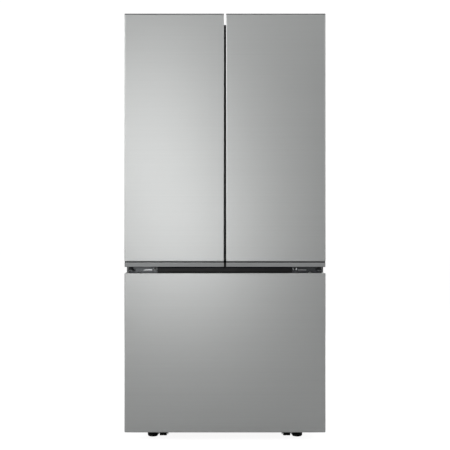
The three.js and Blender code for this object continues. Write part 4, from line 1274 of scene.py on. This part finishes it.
def door_panel(side, sign):
    low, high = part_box(f"{side}_door_liner")
    wall_front, wall_back = PANEL_BACK, high.y
    outer, inner = (0.056, 0.355, 0.775, 1.680), (0.074, 0.337, 0.793, 1.662)
    slab = (abs(low.x), abs(high.x)) if sign > 0 else (abs(high.x), abs(low.x))
    slab = (*slab, low.z, SLAB_TOP)

    def ring(box, inset, y, radius):
        x0, x1, z0, z1 = box
        plan = round_rect(x0 + inset, x1 - inset, z0 + inset, z1 - inset, radius)
        return [(sign * x, y, z) for x, z in plan]

    rings = [
        ring(slab, 1 * MM, low.y + 1 * MM, 3 * MM),
        ring(slab, 0, wall_front - 4 * MM, 3 * MM),
        ring(slab, 2.5 * MM, wall_front - 1 * MM, 3 * MM),
        ring(slab, 3.5 * MM, wall_front, 3 * MM),
        ring(outer, -9 * MM, wall_front, 26 * MM),
        ring(outer, -3 * MM, wall_front + 1 * MM, 22 * MM),
        ring(outer, 0, wall_front + 5 * MM, 20 * MM),
        ring(outer, 1.5 * MM, wall_back - 5 * MM, 19 * MM),
        ring(outer, 3 * MM, wall_back - 1.2 * MM, 18 * MM),
        ring(outer, 5.5 * MM, wall_back, 16 * MM),
        ring(inner, -5.5 * MM, wall_back, 12 * MM),
        ring(inner, -3 * MM, wall_back - 1.2 * MM, 10 * MM),
        ring(inner, -1.5 * MM, wall_back - 5 * MM, 9 * MM),
        ring(inner, 0, wall_front + 3 * MM, 8 * MM),
        ring(inner, 4 * MM, wall_front - 0.5 * MM, 6 * MM),
        ring(inner, 8 * MM, wall_front - 1.2 * MM, 5 * MM),
    ]
    parts = [settled(lofted(f"{side}_door_panel", rings, panel_plastic))]
    for z in [level + 0.040 for level in BIN_LEVELS[side]]:
        for x0, x1 in BOSS_SIDES:
            ends = sorted((sign * x0, sign * x1))
            boss = bar("boss", (ends[0], -0.330, z), (ends[1], -0.296, z + 0.034), 1 * MM, panel_plastic)
            parts.append(settled(boss))
    if sign < 0:
        for z in LUG_HEIGHTS:
            lug = bar("lug", (-0.060, -0.322, z), (-0.029, -0.300, z + 0.008), 1.5 * MM, panel_plastic)
            parts.append(settled(lug))
    fitted(joined(*parts), f"{side}_door", "door_panel", f"{side}_door_liner")


for side, sign in (("left", -1), ("right", 1)):
    door_panel(side, sign)


# ---- Gaskets
# Soft grey vinyl with a bellows side and a magnet in its face. It is pushed into a groove of the inner
# panel and pulls itself flat against the front of the cabinet.
def gasket_vinyl():
    finish = Finish("gasket_vinyl", Specular_IOR_Level=0.35)
    powder = finish.noise(size=40.0, detail=4.0)
    finish.feed("Base Color", finish.mixed(powder, (0.40, 0.42, 0.42), (0.50, 0.52, 0.52)))
    finish.feed("Roughness", 0.55 + powder * 0.2)
    finish.bumped(finish.noise(size=700.0), 0.0001, 0.3)
    return finish.material


vinyl = gasket_vinyl()
# Inset from the outer edge in millimetres, and depth in fourteenths of the whole.
BELLOWS = [(2, 0), (18, 0), (18.6, 1.6), (16, 3.6), (19.4, 6.6), (20, 10.6), (18.8, 13.6), (17, 14)]
BELLOWS += [(3, 14), (1.2, 13.6), (0, 10.6), (0.6, 6.6), (4, 3.6), (1.4, 1.6)]


def gasket(node):
    low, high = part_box(node)
    rings = []
    for inset, along in BELLOWS:
        inset, y = inset * MM, low.y + along * (high.y - low.y) / 14
        plan = round_rect(low.x + inset, high.x - inset, low.z + inset, high.z - inset, 1.5 * MM, 2)
        rings.append([(x, y, z) for x, z in plan])
    piece = lofted(f"{node}_bellows", rings, vinyl, loop=True)
    fitted(piece, nodes[node]["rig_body"], "gasket_rubber", node)


for node in ("left_door_gasket", "right_door_gasket", "freezer_drawer_gasket"):
    gasket(node)


# ---- Edge lips
# A soft black lip down the inner edge of each door. The two meet behind the slit between the doors and
# keep light and dust out of it.
# Distance from the middle and depth, in millimetres.
LIP = [(10.5, -340.2), (10.5, -338.4), (3.0, -338.4), (0.5, -339.2), (0.4, -339.8), (3.0, -340.2)]
LIP_LOW, LIP_HIGH = 0.7245, 1.7310
for side, sign in (("left", -1), ("right", 1)):
    rings = [[(sign * x * MM, y * MM, z) for x, y in LIP] for z in (LIP_LOW, LIP_HIGH)]
    lip = softened(lofted(f"{side}_door_lip", rings, rubber), 0.15 * MM, 1)
    fitted(lip, f"{side}_door", "black_rubber")


# ---- Handle strips and the drawer's grip
# The doors have no bar. A satin strip along each lower edge hides a finger pocket behind it, and the
# drawer has a moulded groove along its top edge.
def satin_strip():
    finish = Finish("satin_grey_strip", Metallic=0.85)
    hair = finish.noise((2.0, 700.0, 700.0), detail=2.0)
    cloud = finish.noise((5.0, 1.0, 1.0), detail=2.0)
    tone = hair * 0.5 + cloud * 0.5
    finish.feed("Base Color", finish.mixed(tone, (0.48, 0.49, 0.49), (0.68, 0.69, 0.69)))
    finish.feed("Roughness", 0.26 + hair * 0.12)
    finish.bumped(hair, 0.00002, 0.4)
    return finish.material


strip_metal = satin_strip()
# Depth and height, in millimetres: the front leans in a little towards its lower edge.
STRIP = [(-421.8, 740.2), (-421.9, 739.4), (-418.4, 723.6), (-416.8, 722.4), (-413.0, 722.2)]
STRIP += [(-413.0, 724.0), (-416.0, 724.4), (-420.0, 740.2)]
for side, sign in (("left", -1), ("right", 1)):
    # The cap is dark plastic, and where it shows in the slit under the steel it gives the dark line:
    # partly its own colour, partly painted shade.
    eased(f"{side}_door_handle_cap", 1.1 * MM, dark, "dark_plastic", 3)
    low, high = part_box(f"{side}_door_handle_cap")
    section = [(y * MM, z * MM) for y, z in STRIP]
    facing = run(f"{side}_door_strip", section, low.x, high.x, strip_metal, 0.25 * MM, 2)
    fitted(facing, f"{side}_door", "handle_trim")
eased("freezer_drawer_handle_cap", 1.4 * MM, cap_grey, "cap_plastic", 3)


# ---- Door bins
# Clear moulded polystyrene, open on top, with a rolled rim and round corners. Each hangs on the bosses
# of the inner panel and lifts off.
def clear_plastic():
    finish = Finish("clear_polystyrene", IOR=1.5, Specular_IOR_Level=0.6)
    rim = finish.node("ShaderNodeLayerWeight", values={"Blend": 0.4}, output=1)
    flow = finish.noise((1, 1, 0.3), size=14.0, detail=3.0)
    finish.feed("Base Color", finish.mixed(rim, (0.84, 0.88, 0.90), (0.66, 0.73, 0.77)))
    finish.feed("Roughness", 0.08 + flow * 0.08)
    finish.feed("Alpha", (0.22 + rim * 0.55).clamped())
    finish.bumped(flow, 0.0004, 0.2)
    return finish.material


clear = clear_plastic()
BIN_WALL = 2.4 * MM


def tub(name, low, high, corner=14 * MM, lip=2.5 * MM, draft=2.5 * MM, fillet=6 * MM, rim=9 * MM):
    """An open moulded box: drafted walls with a filleted floor and a lip round the top."""

    def ring(inset, z, radius):
        (x0, y0), (x1, y1) = low[:2], high[:2]
        radius = max(radius, 2 * MM)
        plan = round_rect(x0 + inset, x1 - inset, y0 + inset, y1 - inset, radius)
        return [(x, y, z) for x, y in plan]

    turns = [math.radians(90 * i / 4) for i in range(5)]
    curve = [(fillet * (1 - math.sin(a)), fillet * (1 - math.cos(a))) for a in turns]
    base, wall = low[2], BIN_WALL
    outer = [ring(lip + draft + inset, base + rise, corner) for inset, rise in curve]
    rolled = [
        ring(lip, high[2] - rim, corner),
        ring(0.5 * MM, high[2] - rim, corner),
        ring(0, high[2] - rim + 0.6 * MM, corner),
        ring(0, high[2] - 1 * MM, corner),
        ring(0.9 * MM, high[2], corner),
        ring(lip + wall - 0.9 * MM, high[2], corner - wall),
        ring(lip + wall, high[2] - 1 * MM, corner - wall),
    ]
    inner = [
        ring(lip + draft + wall + inset, base + wall + rise, corner - wall)
        for inset, rise in curve[::-1]
    ]
    return settled(lofted(name, [*outer, *rolled, *inner], clear))


for side in ("left", "right"):
    for level in ("low", "middle", "top"):
        node = f"{side}_door_bin_{level}"
        if node in nodes:
            low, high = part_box(node)
            fitted(tub(f"{node}_tub", low, high), f"{side}_door", "clear_bin", node)
            band = [(high.y - 1.0 * MM, high.z - 8 * MM), (high.y - 0.2 * MM, high.z - 7 * MM)]
            band += [(high.y - 0.2 * MM, high.z - 3 * MM), (high.y - 1.0 * MM, high.z - 2 * MM)]
            trim = run(f"{node}_band", band, low.x + 16 * MM, high.x - 16 * MM, satin, 0.2 * MM)
            fitted(trim, f"{side}_door", "handle_trim")
eased("dairy_box", 1.0 * MM, clear, "clear_bin", 3)
eased("dairy_lid", 1.0 * MM, clear, "clear_bin", 3)


# ---- Mullion flap
# A hinged bar on the left door that closes the slit between the doors for their gaskets. It is dark
# moulded plastic over a steel face, on a pin at each end.
eased("mullion_flap", 2.0 * MM, dark, "dark_plastic", 4)
low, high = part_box("mullion_flap")
FACING_LOW, FACING_HIGH = 0.797, 1.659
facings = []
for x0, x1 in ((-0.0473, -0.0465), (-0.0255, -0.0247)):
    near, far = (x0, low.y + 0.007, FACING_LOW), (x1, high.y - 0.007, FACING_HIGH)
    facings.append(bar("mullion_facings", near, far, 0.25 * MM, satin, 2))
fitted(joined(*facings), "mullion_flap", "handle_trim")


# ---- Freezer drawer
# The drawer front is a foamed panel like the doors. It is screwed to two telescopic zinc plated slides,
# and a deep clear basket hangs between them.
low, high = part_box("freezer_drawer_liner")
slab = (low.x, high.x, low.z, 0.6395)
plateau = (-0.352, 0.352, 0.120, 0.636)


def drawer_ring(box, inset, y, radius):
    x0, x1, z0, z1 = box
    plan = round_rect(x0 + inset, x1 - inset, z0 + inset, z1 - inset, radius)
    return [(x, y, z) for x, z in plan]


front_panel = lofted("freezer_drawer_panel", [
    drawer_ring(slab, 1 * MM, low.y + 1 * MM, 3 * MM),
    drawer_ring(slab, 0, PANEL_BACK - 4 * MM, 3 * MM),
    drawer_ring(slab, 2.5 * MM, PANEL_BACK - 1 * MM, 3 * MM),
    drawer_ring(slab, 3.5 * MM, PANEL_BACK, 3 * MM),
    drawer_ring(plateau, -1 * MM, PANEL_BACK, 22 * MM),
    drawer_ring(plateau, 0, PANEL_BACK + 3 * MM, 20 * MM),
    drawer_ring(plateau, 1.5 * MM, high.y - 4 * MM, 19 * MM),
    drawer_ring(plateau, 3.5 * MM, high.y - 1 * MM, 17 * MM),
    drawer_ring(plateau, 6 * MM, high.y, 15 * MM),
], panel_plastic)
fitted(front_panel, "freezer_drawer", "door_panel", "freezer_drawer_liner")
for node in ("freezer_rail_left", "freezer_rail_right", "freezer_slide_inner", "freezer_slide_middle"):
    eased(node, 0.6 * MM, zinc, "bright_zinc")
SLIDE_SCREWS = [(x, z) for x in (0.337, 0.346) for z in (0.291, 0.329)]
places = [(side * x, -0.3185, z) for side in (-1, 1) for x, z in SLIDE_SCREWS]
screwed("slide_screws", "freezer_drawer", places, (0, 1, 0), 3 * MM, 1.4 * MM)


RIB_PITCH = 0.040


def basket(node, body, half, ledge):
    """A drawer tub hung by a ledge along each side, with ribs down its front wall."""
    low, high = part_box(node)
    near, far = (-half, low.y, low.z), (half, high.y, high.z)
    deep = tub(f"{node}_tub", near, far, 24 * MM, 4 * MM, 3 * MM)
    fitted(deep, body, "clear_bin", node)
    sides = []
    for sign in (-1, 1):
        x0, x1 = sorted((sign * (half - 7 * MM), sign * high.x))
        near, far = (x0, low.y + 0.03, ledge), (x1, high.y - 0.03, ledge + 4 * MM)
        sides.append(bar(f"{node}_ledges", near, far, 1 * MM, clear))
    fitted(joined(*sides), body, "clear_bin")
    height = high.z - low.z - 0.030
    middle = low.z + 0.012 + height / 2
    across = [(i * RIB_PITCH, low.y + 5 * MM, middle) for i in range(-7, 8)]
    ribs = plates.at(f"{node}_ribs", across, clear, Width=2 * MM, Depth=3 * MM, Height=height)
    fitted(ribs, body, "clear_bin")


basket("freezer_basket", "freezer_drawer", half=0.339, ledge=0.3205)
basket("upper_freezer_drawer", "upper_freezer_drawer", half=0.338, ledge=0.5985)


# ---- Crispers and pantry drawer
# Clear tubs that slide on ledges of the liner and the hanger. Each front stands above its tub and has a
# grip rail moulded along it.
def produce_drawer(node):
    low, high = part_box(node)
    front = low.y + 10 * MM
    body = tub(f"{node}_tub", (low.x, front, low.z), (high.x, high.y, high.z - 12 * MM), 16 * MM)
    fitted(body, node, "clear_bin", node)
    grip = high.z - 20 * MM
    face = [(front + 4 * MM, low.z + 8 * MM), (front + 1 * MM, low.z + 8 * MM), (front, low.z + 9 * MM)]
    face += [(front, grip - 6 * MM), (low.y + 1.5 * MM, grip - 6 * MM), (low.y, grip - 4.5 * MM)]
    face += [(low.y, grip - 1.5 * MM), (low.y + 1.5 * MM, grip), (front - 1 * MM, grip)]
    face += [(front, grip + 1.5 * MM), (front, high.z - 1 * MM), (front + 1 * MM, high.z)]
    face += [(front + 4 * MM, high.z)]
    fitted(run(f"{node}_front", face, low.x, high.x, clear, 0.6 * MM), node, "clear_bin")
    y0, y1, z0, z1 = low.y, low.y + 0.6 * MM, grip - 4.2 * MM, grip - 1.8 * MM
    section = [(y0, z0), (y1, z0), (y1, z1), (y0, z1)]
    band = run(f"{node}_band", section, low.x + 3 * MM, high.x - 3 * MM, satin, 0.1 * MM)
    fitted(band, node, "handle_trim")


for node in ("crisper_left", "crisper_right", "pantry_drawer"):
    produce_drawer(node)
